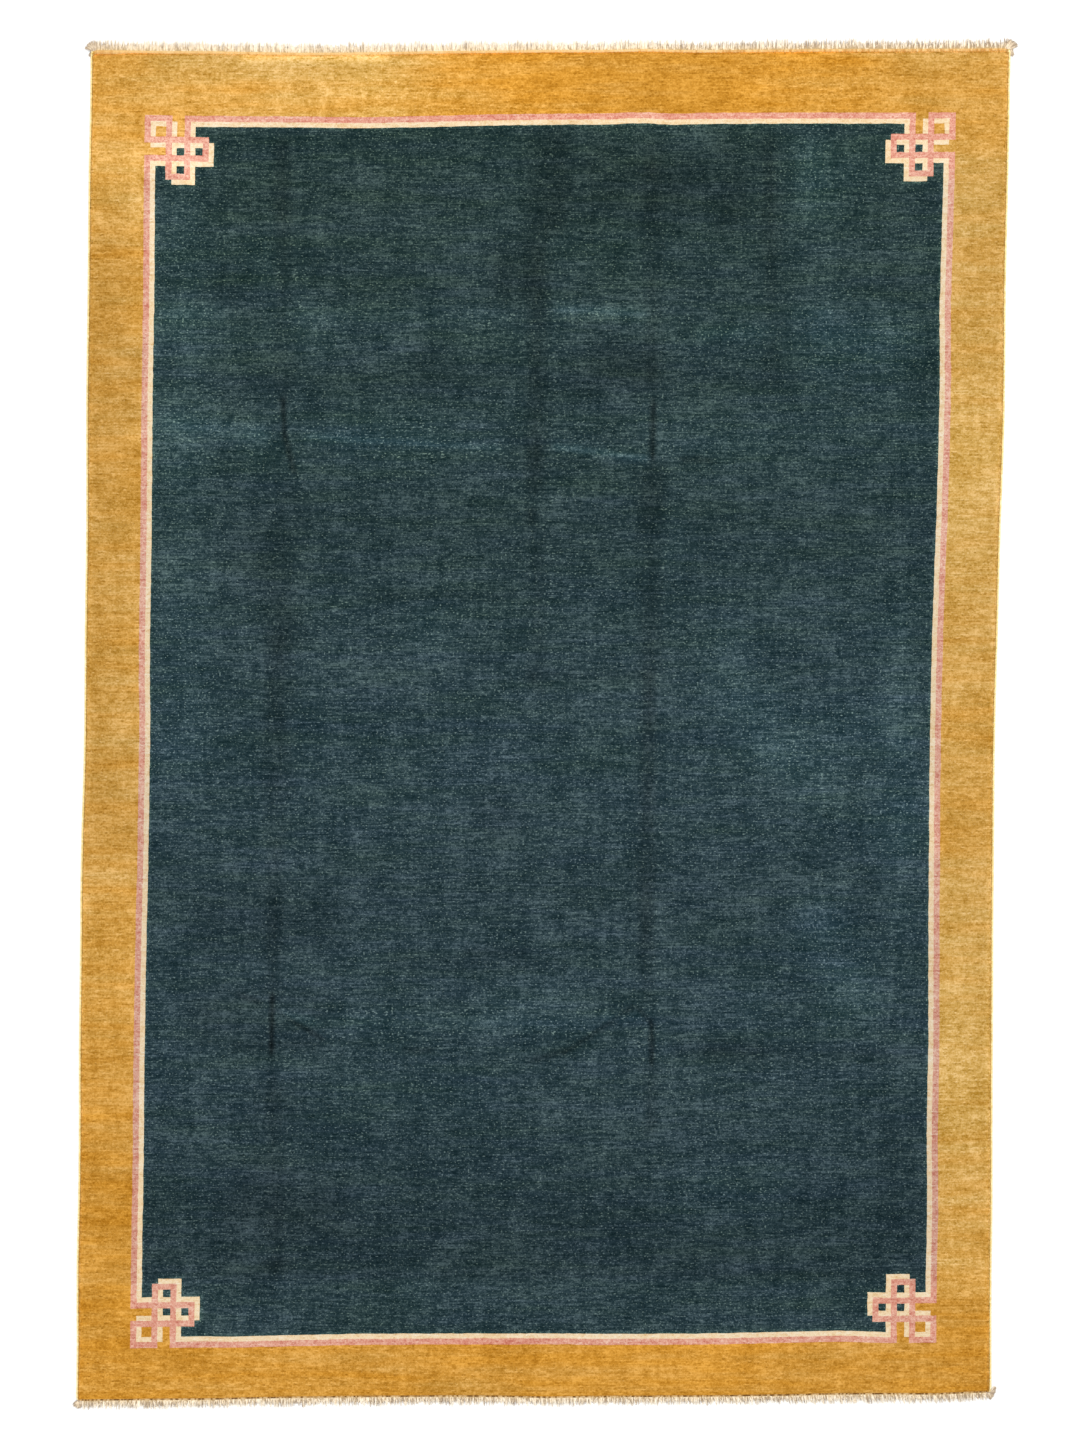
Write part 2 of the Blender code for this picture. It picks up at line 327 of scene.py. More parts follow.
    def stray(self, s: Array, t: Array, x: Array, y: Array) -> tuple[Array, Array]:
        """How far the guards, the knots beside them and the four edges stray.

        Args:
            s: fractions across the rug.
            t: fractions along the rug.
            x: places across the rug.
            y: places along the rug.

        Returns:
            Offsets along X and along Y, 0 in the middle of the rug.
        """
        tables = (
            (s, y, (self.left_guard, self.right_guard), (self.left_edge, self.right_edge)),
            (t, x, (self.bottom_guard, self.top_guard), (self.bottom_edge, self.top_edge)),
        )
        strays = []
        for k, (share, place, guards, edges) in enumerate(tables):
            off = np.abs(share)
            near_guard = (smooth((1.0 - off) / self.guard_outer[k])
                          * smooth((off - self.guard_inner[k]) / self.guard_rise[k]))
            near_edge = smooth((off - self.brink[k]) / self.brink_rise[k])
            guard, edge = (np.where(share < 0.0, *(np.interp(place, *zip(*table)) for table in pair))
                           for pair in (guards, edges))
            strays.append((guard * near_guard + edge * near_edge) * MM)
        return strays[0], strays[1]

    def worn(self, s: Array) -> Array:
        """How much further in the pile ends near the worn top left corner, at s."""
        return self.worn_corner * smooth((self.worn_from - s) / self.worn_over)

    def lay(self, s: Array, t: Array) -> tuple[Array, Array]:
        """Plan position of loom places.

        Args:
            s: fractions across the rug.
            t: fractions along the rug.

        Returns:
            x and y on the floor.
        """
        s, t = np.broadcast_arrays(np.asarray(s, float), np.asarray(t, float))
        drift = self.left_drift(t) * (s <= 0.0) + self.right_drift(t) * (s > 0.0)
        x = self.lean * t + self.sway * t * t + s * self.half_width(t) + drift * s * s
        y = 0.5 * (1.0 + t) * self.top_line(s) + 0.5 * (1.0 - t) * self.bottom_line(s)
        inner = (1.0 - s**4) * (1.0 - t**4)
        x = x + self.column_bow * inner * np.sin(self.column_wave[1] * t + self.column_wave[0] * s)
        y = y + self.row_bow * inner * np.sin(
            self.row_wave[0] * s + self.row_wave[2] + self.row_wave[1] * t)
        stray_x, stray_y = self.stray(s, t, x + self.shift[0], y + self.shift[1])
        x, y = x + stray_x, y + stray_y
        across = np.maximum(0.0, np.abs(s) - self.corner_s) / (1.0 - self.corner_s)
        along = np.maximum(0.0, np.abs(t) - self.corner_t) / (1.0 - self.corner_t)
        ease = self.corner_ease * across * along
        return x - np.sign(s) * ease + self.shift[0], y - np.sign(t) * ease + self.shift[1]

    def lift(self, s: Array, t: Array) -> Array:
        """Height of the underside above the floor.

        Args:
            s: fractions across the rug.
            t: fractions along the rug.

        Returns:
            Heights in metres, where two folds cross a little above either.
        """
        half_span = 0.5 * self.width_middle
        long_rise = sum(fold.height(s, t, half_span) for fold in self.long_folds)
        cross_rise = sum(fold.height(t, s, self.half_length) for fold in self.cross_folds)
        return np.hypot(long_rise, cross_rise)


@dataclass
class Shell:
    """Points, faces, map places and yarn tones gathered for one piece."""

    points: list[Array] = field(default_factory=list)
    faces: list[tuple[int, ...]] = field(default_factory=list)
    places: list[Array] = field(default_factory=list)
    tones: list[Array] = field(default_factory=list)
    tints: list[Array] = field(default_factory=list)
    slots: list[int] = field(default_factory=list)
    count: int = 0

    def add_points(self, points: Array, tones: Array, tints: Array | None = None) -> int:
        """Add points with their tones and tints.

        Args:
            points: array of (n, 3).
            tones: array of n numbers, how much lighter the yarn is.
            tints: array of n numbers, how much cooler the dye is; None for even dye.

        Returns:
            Index of the first point added.
        """
        first = self.count
        self.points.append(np.asarray(points, float).reshape(-1, 3))
        self.tones.append(np.asarray(tones, float).ravel())
        self.tints.append(np.zeros(len(self.tones[-1])) if tints is None else tints.ravel())
        self.count += len(self.points[-1])
        return first

    def add_faces(self, faces: Array, places: Array, slot: int = 0) -> None:
        """Add faces of one size.

        Args:
            faces: point indices, (n, corners).
            places: map place of each corner, (n, corners, 2).
            slot: material slot of the faces.
        """
        self.faces += [tuple(face) for face in np.asarray(faces).tolist()]
        self.places.append(np.asarray(places, float).reshape(-1, 2))
        self.slots += [slot] * len(faces)

    def build(self, name: str, looks: list[bpy.types.Material], angle: float) -> bpy.types.Object:
        """Make the object.

        Args:
            name: name of the piece.
            looks: its materials, by slot.
            angle: edges sharper than this many degrees stay sharp.

        Returns:
            The new object, at the origin.
        """
        mesh = bpy.data.meshes.new(name)
        mesh.from_pydata(np.concatenate(self.points).tolist(), [], self.faces)
        for kind, values in (("tone", self.tones), ("tint", self.tints)):
            made = mesh.attributes.new(kind, "FLOAT", "POINT")
            made.data.foreach_set("value", np.concatenate(values).astype(np.float32))
        layer = mesh.uv_layers.new(name=BAKE_MAP)
        layer.uv.foreach_set("vector", np.concatenate(self.places).astype(np.float32).ravel())
        for look in looks:
            mesh.materials.append(look)
        mesh.polygons.foreach_set("material_index", self.slots)
        mesh.update()
        piece = bpy.data.objects.new(name, mesh)
        bpy.context.collection.objects.link(piece)
        bpy.ops.object.select_all(action="DESELECT")
        piece.select_set(True)
        bpy.context.view_layer.objects.active = piece
        bpy.ops.object.shade_smooth_by_angle(angle=math.radians(angle))
        LOG.info("%s: %d faces", name, len(mesh.polygons))
        return piece


@dataclass(frozen=True)
class Shade:
    """A stroke that makes the pile darker or lighter: painted shade or painted highlight where the
    pile leans another way along a fold, and also a dye band or a worn place.

    Its breadth is half its width, and its amount is the tone that it adds at its middle.
    """

    start: tuple[float, float]
    end: tuple[float, float]
    breadth: float
    amount: float
    wavering: float = 0.4
    lumps: tuple[float, float] = (0.07, 0.045)
    fade: float = 0.8
    least_fade: float = 0.12

    def along(self) -> tuple[Array, float]:
        """Line of the stroke.

        Returns:
            Its unit direction and its length.
        """
        run = np.subtract(self.end, self.start)
        length = float(np.hypot(*run))
        return run / length, length

    def over(self, x: Array, y: Array) -> Array:
        """Tone that the stroke adds.

        Args:
            x: places across the rug.
            y: places along the rug.

        Returns:
            Tone, 0 away from the stroke.
        """
        aim, length = self.along()
        dx, dy = x - self.start[0], y - self.start[1]
        share = (dx * aim[0] + dy * aim[1]) / length
        off = np.abs(dx * aim[1] - dy * aim[0])
        wander = 1.0 + self.wavering * wool_noise(x, y, self.lumps, Seed.STROKES)
        soft = max(self.least_fade, self.fade * self.breadth / length)
        ends = smooth(share / soft + 0.5) * smooth((1.0 - share) / soft + 0.5)
        return self.amount * ends * bell(off / self.breadth * wander) * wander


def strokes(*rows: tuple[float, ...]) -> tuple[Shade, ...]:
    """Strokes from rows of their start, end, breadth and amount."""
    return tuple(Shade(row[:2], row[2:4], *row[4:]) for row in rows)


@dataclass(frozen=True)
class DyeRun:
    """Slow change of a dye over one part of the rug, from one dye bath to the next.

    The part is a box (x low, y low, x high, y high) with soft sides. Each stop is a place
    along the axis, then how light and how cool the dye is there.
    """

    box: tuple[float, float, float, float]
    axis: int
    stops: tuple[tuple[float, float, float], ...]
    soft: float = 0.06

    def over(self, x: Array, y: Array) -> tuple[Array, Array, Array]:
        """The dye at places on the rug.

        Args:
            x: places across the rug.
            y: places along the rug.

        Returns:
            Weight of this run, lightness and coolness.
        """
        low_x, low_y, high_x, high_y = self.box
        weight = 1.0
        for place, low, high in ((x, low_x, high_x), (y, low_y, high_y)):
            weight = weight * smooth((place - low) / self.soft + 0.5)
            weight = weight * smooth((high - place) / self.soft + 0.5)
        place, light, cool = zip(*self.stops)
        at = (x, y)[self.axis]
        never_none = 1e-4
        return weight + never_none, np.interp(at, place, light), np.interp(at, place, cool)


def dyed(runs: tuple[DyeRun, ...], tones: Array, x: Array, y: Array) -> tuple[Array, Array]:
    """Tones and tints of a yarn whose dye varies.

    Args:
        runs: how the dye varies.
        tones: tones from the lie of the yarn alone.
        x: places across the rug.
        y: places along the rug.

    Returns:
        Tones with the dye's lightness in them, and tints.
    """
    found = [run.over(x, y) for run in runs]
    total = sum(weight for weight, _, _ in found)
    light = sum(weight * light for weight, light, _ in found) / total
    cool = sum(weight * cool for weight, _, cool in found) / total
    return (1.0 + tones) * light - 1.0, cool


# ---------------------------------------------------------------------------------------
# Finishes
# ---------------------------------------------------------------------------------------


class Recipe:
    """Node tree of one material, built socket by socket on Object coordinates."""

    relief_strength = 0.9
    shine = 0.03
    sheen_roughness = 0.55

    def __init__(self, name: str) -> None:
        """Start a material with a bare Principled shader.

        Args:
            name: name of the material.
        """
        self.material = bpy.data.materials.new(name)
        self.material.use_nodes = True
        self.tree = self.material.node_tree
        self.shader = self.tree.nodes["Principled BSDF"]
        self.coordinates = self.tree.nodes.new("ShaderNodeTexCoord").outputs["Object"]

    def node(self, kind: str, values: dict | None = None, **settings: object) -> bpy.types.Node:
        """Add a node.

        Args:
            kind: node type.
            values: input name or index to a socket or a plain value.
            settings: properties of the node.

        Returns:
            The node.
        """
        made = self.tree.nodes.new(kind)
        for key, value in settings.items():
            setattr(made, key, value)
        for key, value in (values or {}).items():
            if isinstance(value, bpy.types.NodeSocket):
                self.tree.links.new(value, made.inputs[key])
            else:
                made.inputs[key].default_value = value
        return made

    def rows(self, pitch: float) -> bpy.types.NodeSocket:
        """Coordinates that step from one row of knots to the next, along lines that waver.

        Args:
            pitch: from one row to the next, in metres.

        Returns:
            The stepped coordinates.
        """
        sway = (0.0, 1.5 * pitch, 0.0)
        step = (0.1 * MM, pitch, 0.1 * MM)
        lumps = self.noise((150.0, 90.0, 90.0), 1.0, 41.0)
        waver = self.node(
            "ShaderNodeVectorMath", {0: lumps, 1: sway, 2: self.coordinates},
            operation="MULTIPLY_ADD",
        ).outputs[0]
        return self.node("ShaderNodeVectorMath", {0: waver, 1: step}, operation="SNAP").outputs[0]

    def noise(
        self,
        scale: tuple[float, float, float],
        detail: float = 2.0,
        move: float = 0.0,
        places: bpy.types.NodeSocket | None = None,
    ) -> bpy.types.NodeSocket:
        """Noise with its own number of lumps per metre along each axis.

        Args:
            scale: lumps per metre along X, Y and Z.
            detail: layers of finer noise.
            move: shift that gives another set of lumps.
            places: coordinates other than the piece's own.

        Returns:
            The noise's factor.
        """
        mapped = self.node(
            "ShaderNodeMapping",
            {"Vector": places or self.coordinates, "Scale": scale,
             "Location": (move, 1.7 * move, 0.0)},
        )
        made = self.node(
            "ShaderNodeTexNoise",
            {"Vector": mapped.outputs[0], "Scale": 1.0, "Detail": detail},
        )
        return made.outputs["Fac"]

    def math(
        self, operation: str, first: object, second: object, third: object = 0.0
    ) -> bpy.types.NodeSocket:
        """Math node of up to three values."""
        values = {0: first, 1: second, 2: third}
        return self.node("ShaderNodeMath", values, operation=operation).outputs[0]

    def weigh(self, parts: list[tuple[bpy.types.NodeSocket, float]]) -> bpy.types.NodeSocket:
        """Add factors, each centred on a half and given a weight.

        Args:
            parts: factor and weight pairs.

        Returns:
            A factor centred on a half.
        """
        total: object = 0.5 - 0.5 * sum(weight for _, weight in parts)
        for factor, weight in parts:
            total = self.math("MULTIPLY_ADD", factor, weight, total)
        return total

    def ramp(
        self, factor: bpy.types.NodeSocket, stops: list[tuple[float, Colour]]
    ) -> bpy.types.NodeSocket:
        """Colour ramp.

        Args:
            factor: where on the ramp.
            stops: position and colour pairs, at least two.

        Returns:
            The ramp's colour.
        """
        made = self.node("ShaderNodeValToRGB", {"Fac": factor})
        band = made.color_ramp
        while len(band.elements) < len(stops):
            band.elements.new(1.0)
        for element, (place, colour) in zip(band.elements, stops):
            element.position = place
            element.color = (*colour, 1.0)
        return made.outputs["Color"]

    def three_shades(
        self, factor: bpy.types.NodeSocket, deep: Colour, base: Colour, pale: Colour
    ) -> bpy.types.NodeSocket:
        """Ramp of a yarn's three shades, with the middle of the factor as its base."""
        return self.ramp(factor, [(0.2, deep), (0.5, base), (0.8, pale)])

    def level(
        self, factor: bpy.types.NodeSocket, stops: list[tuple[float, float]]
    ) -> bpy.types.NodeSocket:
        """Grey ramp, for a factor that follows a given curve."""
        return self.ramp(factor, [(place, (value,) * 3) for place, value in stops])

    def mix(
        self, factor: bpy.types.NodeSocket, first: object, second: object
    ) -> bpy.types.NodeSocket:
        """Mix two colours.

        Args:
            factor: share of the second.
            first: socket or plain colour.
            second: socket or plain colour.

        Returns:
            The mixed colour.
        """
        first, second = (part if isinstance(part, bpy.types.NodeSocket) else (*part, 1.0)
                         for part in (first, second))
        values = {0: factor, 6: first, 7: second}
        return self.node("ShaderNodeMix", values, data_type="RGBA").outputs[2]

    def scale(
        self, colour: bpy.types.NodeSocket, amount: bpy.types.NodeSocket
    ) -> bpy.types.NodeSocket:
        """Multiply a colour by an amount."""
        values = {0: colour, "Scale": amount}
        return self.node("ShaderNodeVectorMath", values, operation="SCALE").outputs[0]

    def carried(self, kind: str) -> bpy.types.NodeSocket:
        """Value that the piece's own points carry: tone or tint."""
        return self.node("ShaderNodeAttribute", attribute_name=kind).outputs["Fac"]

    def stroke(self, shade: Shade, wander: bpy.types.NodeSocket) -> bpy.types.NodeSocket:
        """A narrow stroke of painted shade or painted highlight, as its amount is below or above 0,
        drawn by its distance from a line.

        Args:
            shade: the stroke.
            wander: noise that makes its breadth uneven.

        Returns:
            The tone that it adds.
        """
        aim, length = shade.along()
        middle = 0.5 * np.add(shade.start, shade.end)
        away = self.node(
            "ShaderNodeVectorMath", {0: self.coordinates, 1: (*middle, 0.0)}, operation="SUBTRACT"
        ).outputs[0]
        shares = []
        for line, half in ((aim, 0.5 * length), ((aim[1], -aim[0]), shade.breadth)):
            dot = self.node(
                "ShaderNodeVectorMath",
                {0: away, 1: (line[0] / half, line[1] / half, 0.0)},
                operation="DOT_PRODUCT",
            )
            shares.append(self.math("ABSOLUTE", dot.outputs["Value"], 0.0))
        off = self.math("MULTIPLY", shares[1], wander)
        soft = min(0.5, 2.0 * shade.breadth / length)
        faded = [
            self.node(
                "ShaderNodeMapRange",
                {"Value": share, "From Min": low, "From Max": high, "To Min": 1.0, "To Max": 0.0},
                interpolation_type="SMOOTHSTEP",
            ).outputs["Result"]
            for share, low, high in ((shares[0], 1.0 - soft, 1.0 + soft), (off, 0.0, 1.0))
        ]
        return self.math("MULTIPLY", self.math("MULTIPLY", *faded), shade.amount)

    def finish(
        self,
        colour: bpy.types.NodeSocket,
        height: bpy.types.NodeSocket,
        distance: float,
        rough: bpy.types.NodeSocket,
        sheen: float,
    ) -> bpy.types.Material:
        """Join the parts to the shader.

        Args:
            colour: base colour.
            height: relief factor.
            distance: depth of the relief in metres.
            rough: roughness.
            sheen: weight of the wool's soft sheen.

        Returns:
            The finished material.
        """
        relief = self.node(
            "ShaderNodeBump",
            {"Height": height, "Distance": distance, "Strength": self.relief_strength},
        )
        link = self.tree.links.new
        link(colour, self.shader.inputs["Base Color"])
        link(rough, self.shader.inputs["Roughness"])
        link(relief.outputs[0], self.shader.inputs["Normal"])
        self.shader.inputs["Specular IOR Level"].default_value = self.shine
        self.shader.inputs["Sheen Weight"].default_value = sheen
        self.shader.inputs["Sheen Roughness"].default_value = self.sheen_roughness
        return self.material


# Layers of unevenness in the pile wool: lumps per metre along X, Y and Z, layers of finer
# noise, shift. The first two follow the rows of knots.
HEATHER = (
    ((62.0, 330.0, 60.0), 2.0, 0.0),        # streaks
    ((190.0, 350.0, 190.0), 1.0, 3.1),      # single knots
    ((480.0, 480.0, 480.0), 1.0, 7.7),      # fibres
    ((52.0, 80.0, 52.0), 2.0, 5.2),         # clumps
    ((56.0, 7.0, 30.0), 1.0, 15.0),         # columns
    ((12.0, 17.0, 12.0), 2.0, 2.4),         # patches
    ((2.2, 6.0, 1.0), 3.0, 11.0),           # clouds
    ((13.0, 310.0, 9.0), 1.0, 17.3),        # whole rows
)
ROW_LAYERS = 2


@dataclass(frozen=True)
class PileWool:
    """Hand-spun dyed wool standing as knotted pile: heathered, streaked along the rows.

    The weights are those of the layers of HEATHER. The wool goes from deep through base to
    pale, and its dye from warm to cool.
    """

    name: str
    deep: Colour
    base: Colour
    pale: Colour
    fleck: Colour
    flecks: float
    weights: tuple[float, ...]
    warm: Colour
    cool: Colour
    runs: tuple[DyeRun, ...]
    row: float = 3.5 * MM
    speck_lumps: tuple[float, float, float] = (210.0, 320.0, 210.0)
    speck_span: tuple[float, float] = (0.68, 0.79)
    mottle_lumps: tuple[float, float, float] = (4.0, 34.0, 4.0)
    mottle: float = 1.3
    relief: float = 1.5 * MM
    sheen: float = 0.006

    def heather(self, recipe: Recipe) -> bpy.types.NodeSocket:
        """Unevenness of the spinning and knotting.

        Args:
            recipe: the material being made.

        Returns:
            A factor centred on a half.
        """
        rows = recipe.rows(self.row)
        return recipe.weigh(
            [(recipe.noise(*layer, rows if k < ROW_LAYERS else None), weight)
             for k, (layer, weight) in enumerate(zip(HEATHER, self.weights))])

    def material(self, shades: tuple[Shade, ...] = ()) -> bpy.types.Material:
        """Make the material.

        Args:
            shades: narrow strokes of painted shade and painted highlight where the cloth was
                pinched.

        Returns:
            Wool pile with row streaks, flecks, dye bands, and the painted shade and highlight of its
            folds.
        """
        recipe = Recipe(self.name)
        wool = self.heather(recipe)
        colour = recipe.three_shades(wool, self.deep, self.base, self.pale)
        speck = recipe.noise(self.speck_lumps, 0.0, 21.0)
        low, high = self.speck_span
        chosen = recipe.level(speck, [(low, 0.0), (high, self.flecks)])
        colour = recipe.mix(chosen, colour, self.fleck)
        mottle = recipe.weigh([(recipe.noise(self.mottle_lumps, 3.0, 31.0), self.mottle)])
        cool = recipe.math("ADD", mottle, recipe.carried("tint"))
        tint = recipe.ramp(cool, [(0.0, self.warm), (1.0, self.cool)])
        colour = recipe.node(
            "ShaderNodeVectorMath", {0: colour, 1: tint}, operation="MULTIPLY"
        ).outputs[0]
        # The carried tone holds the painted shade and highlight of the folds, dye bands and the
        # painted light of the long edges.
        tone = recipe.math("ADD", recipe.carried("tone"), 1.0)
        # Painted shade and highlight of the pinches, added to the tone.
        if shades:
            wander = recipe.math("MULTIPLY_ADD", recipe.noise((60.0, 60.0, 60.0)), 1.2, 0.4)
            for shade in shades:
                tone = recipe.math("ADD", tone, recipe.stroke(shade, wander))
        colour = recipe.scale(colour, tone)
        rough = recipe.level(wool, [(0.3, 0.90), (0.7, 0.98)])
        return recipe.finish(colour, wool, self.relief, rough, self.sheen)


@dataclass(frozen=True)
class KnotBack:
    """Back of the knots, seen on the underside: small beads of yarn in rows, with warp between."""

    name: str
    base: Colour
    warp: Colour = (0.55, 0.47, 0.36)
    pitches: tuple[tuple[str, float], ...] = (("X", 3.0 * MM), ("Y", 2.9 * MM))
    darkest: float = 0.55
    patchiness: float = 0.7
    # Painted shade: how much darker the beads are made towards their edges.
    painted_bead_shade: float = 0.35
    relief: float = 0.8 * MM
    sheen: float = 0.05

    def material(self) -> bpy.types.Material:
        """Make the material.

        Returns:
            Rows of knot backs with the warp showing between them.
        """
        recipe = Recipe(self.name)
        split = recipe.node("ShaderNodeSeparateXYZ", {"Vector": recipe.coordinates})
        drift = recipe.noise((9.0, 9.0, 9.0), 2.0)
        beads = []
        for axis, pitch in self.pitches:
            turn = recipe.math("MULTIPLY_ADD", split.outputs[axis], math.tau / pitch, drift)
            beads.append(recipe.math("ABSOLUTE", recipe.math("SINE", turn, 0.0), 0.0))
        bead = recipe.math("MULTIPLY", beads[0], beads[1])
        patch = recipe.noise((60.0, 160.0, 60.0), 2.0, 4.0)
        deep = tuple(self.darkest * part for part in self.base)
        # Uneven dye in patches, and painted shade between the beads.
        uneven = recipe.weigh([(patch, self.patchiness), (bead, self.painted_bead_shade)])
        colour = recipe.ramp(uneven, [(0.3, deep), (0.7, self.base)])
        seen = recipe.level(bead, [(0.05, 0.5), (0.22, 0.0)])
        colour = recipe.mix(seen, colour, self.warp)
        rough = recipe.level(patch, [(0.3, 0.85), (0.7, 0.95)])
        return recipe.finish(colour, bead, self.relief, rough, self.sheen)


@dataclass(frozen=True)
class SpunYarn:
    """Plied yarn whose tone changes from strand to strand, for cords, strips and fringe.

    The weights are those of the piece's own tones, of fibres and of patches. Where a piece
    carries a tint, dye of the pile has stained the yarn.
    """

    name: str
    deep: Colour
    base: Colour
    pale: Colour
    lay: tuple[float, float, float]
    stain: Colour = (0.60, 0.41, 0.14)
    weights: tuple[float, float, float] = (0.8, 0.5, 0.35)
    relief: float = 0.5 * MM
    sheen: float = 0.08

    def material(self) -> bpy.types.Material:
        """Make the material.

        Returns:
            Yarn that takes its tone from the piece, with fibres along its lay.
        """
        recipe = Recipe(self.name)
        fibre = recipe.noise(self.lay, 2.0)
        patch = recipe.noise((30.0, 30.0, 30.0), 2.0, 9.0)
        tone = recipe.weigh(list(zip((recipe.carried("tone"), fibre, patch), self.weights)))
        colour = recipe.three_shades(tone, self.deep, self.base, self.pale)
        colour = recipe.mix(recipe.carried("tint"), colour, self.stain)
        rough = recipe.level(patch, [(0.3, 0.82), (0.7, 0.95)])
        return recipe.finish(colour, fibre, self.relief, rough, self.sheen)


@dataclass(frozen=True)
class PaleFloor:
    """Plain near-white studio floor."""

    colour: Colour = (0.86, 0.86, 0.85)
    dimmed: float = 0.985
    relief: float = 0.1 * MM

    def material(self) -> bpy.types.Material:
        """Make the material.

        Returns:
            Matt paint with a barely seen unevenness.
        """
        recipe = Recipe("pale floor")
        patch = recipe.noise((1.5, 1.5, 1.5), 2.0)
        dim = tuple(self.dimmed * part for part in self.colour)
        colour = recipe.mix(patch, dim, self.colour)
        rough = recipe.level(patch, [(0.3, 0.7), (0.7, 0.8)])
        return recipe.finish(colour, patch, self.relief, rough, 0.0)


# ---------------------------------------------------------------------------------------
# The yarn chart
# ---------------------------------------------------------------------------------------


@dataclass(frozen=True)
class CornerKnot:
    """Chart of the endless knot that the guard stripe ties at each corner.

    Places are measured inwards from the crossing of the two guard lines: u from the side
    guard, v from the end guard. The rose strand has a cream strand on its field side.
    """

    strand: float = 13.1 * MM
    lining: float = 10.9 * MM
    outer_pitch: float = 46.3 * MM
    inner_pitch: float = 40.2 * MM

    def lines(self) -> tuple[float, float, float, float]:
        """Distances of the four strand lines from the guard line, nearest first."""
        first = self.outer_pitch
        return 0.0, first, first + self.inner_pitch, first + 2.0 * self.inner_pitch

    def reach(self) -> float:
        """How far the knot reaches from the guard line."""
        return self.lines()[-1] + 0.5 * self.strand + self.lining

    def runs(self) -> list[tuple[float, float, float, float]]:
        """Straight runs of the strand's middle line.

        Returns:
            For each run, u start, u end, v start and v end.
        """
        one, two, three, four = self.lines()
        far = 9.0                       # past the far corner of any rug
        return [
            (one, one, three, far),     # side guard, up to the knot
            (one, four, three, three),
            (four, four, two, three),
            (one, four, two, two),
            (one, one, one, two),
            (one, two, one, one),
            (two, two, one, four),
            (two, three, four, four),
            (three, three, one, four),
            (three, far, one, one),     # end guard, on to the next corner
        ]

    def yarns(self, u: Array, v: Array) -> Array:
        """Yarn at each place.

        Args:
            u: distance inwards from the side guard line.
            v: distance inwards from the end guard line.

        Returns:
            Yarn numbers, shaped as u.
        """
        one, two, three, _ = self.lines()
        field_of_rug = (u > one) & (v > three) | (u > three) & (v > one)
        field_of_rug |= (u > two) & (u < three) & (v > two) & (v < three)
        found = np.where(field_of_rug, Yarn.TEAL, Yarn.GOLD)
        half = 0.5 * self.strand
        for yarn, start, stop in ((Yarn.CREAM, half, half + self.lining), (Yarn.ROSE, -half, half)):
            for u_low, u_high, v_low, v_high in self.runs():
                across = (u > u_low + start) & (u < u_high + stop)
                found[across & (v > v_low + start) & (v < v_high + stop)] = yarn
        return found


@dataclass(frozen=True)
class Chart:
    """Lay-out of the whole rug: border, guards and knots, on a grid of weaving lines."""

    loom: Loom
    knot: CornerKnot = CornerKnot()
    side_border: float = 115.8 * MM
    top_border: float = 142.0 * MM
    bottom_border: float = 116.0 * MM
    rim: tuple[float, float, float] = (0.0, 1.6 * MM, 4.6 * MM)

    def lines(self, size: float, borders: tuple[float, float], fine: float, wide: float) -> Array:
        """Weaving lines along one direction.

        Args:
            size: the rug's size in this direction.
            borders: border widths at the start and at the end.
            fine: widest step in the borders and the knots.
            wide: widest step between the knots.

        Returns:
            Distances from the start, in order.
        """
        half = 0.5 * self.knot.strand
        marks = []
        for border in borders:
            guard = border + half
            near = [guard + line + step for line in self.knot.lines()
                    for step in (-half, half, half + self.knot.lining)]
            marks.append([*self.rim, *near])
        low = marks[0]
        high = [size - mark for mark in reversed(marks[1])]
        ordered = low + high
        spread = []
        rounding = 1e-6
        for start, stop in zip(ordered, ordered[1:]):
            step = wide if start == low[-1] else fine
            count = max(1, math.ceil((stop - start) / step - rounding))
            spread += [start + (stop - start) * k / count for k in range(count)]
        return np.array(spread + [size])

    def grid(self, fine: float, wide: float) -> tuple[Array, Array, Array]:
        """Weaving lines of both directions and the yarn of each cell between them.

        Args:
            fine: widest step in the borders and the knots.
            wide: widest step between the knots.

        Returns:
            Loom fractions s of the lines, loom fractions t, and the yarn of each cell.
        """
        width = self.loom.width_middle
        length = 2.0 * self.loom.half_length
        p = self.lines(width, (self.side_border,) * 2, fine, wide)
        q = self.lines(length, (self.bottom_border, self.top_border), fine, wide)
        half = 0.5 * self.knot.strand
        p_mid = 0.5 * (p[1:] + p[:-1])[:, None]
        q_mid = 0.5 * (q[1:] + q[:-1])[None, :]
        u = np.minimum(p_mid, width - p_mid) - self.side_border - half
        v = np.minimum(q_mid - self.bottom_border, length - q_mid - self.top_border) - half
        u, v = np.broadcast_arrays(u, v)
        return 2.0 * p / width - 1.0, 2.0 * q / length - 1.0, self.knot.yarns(u, v)


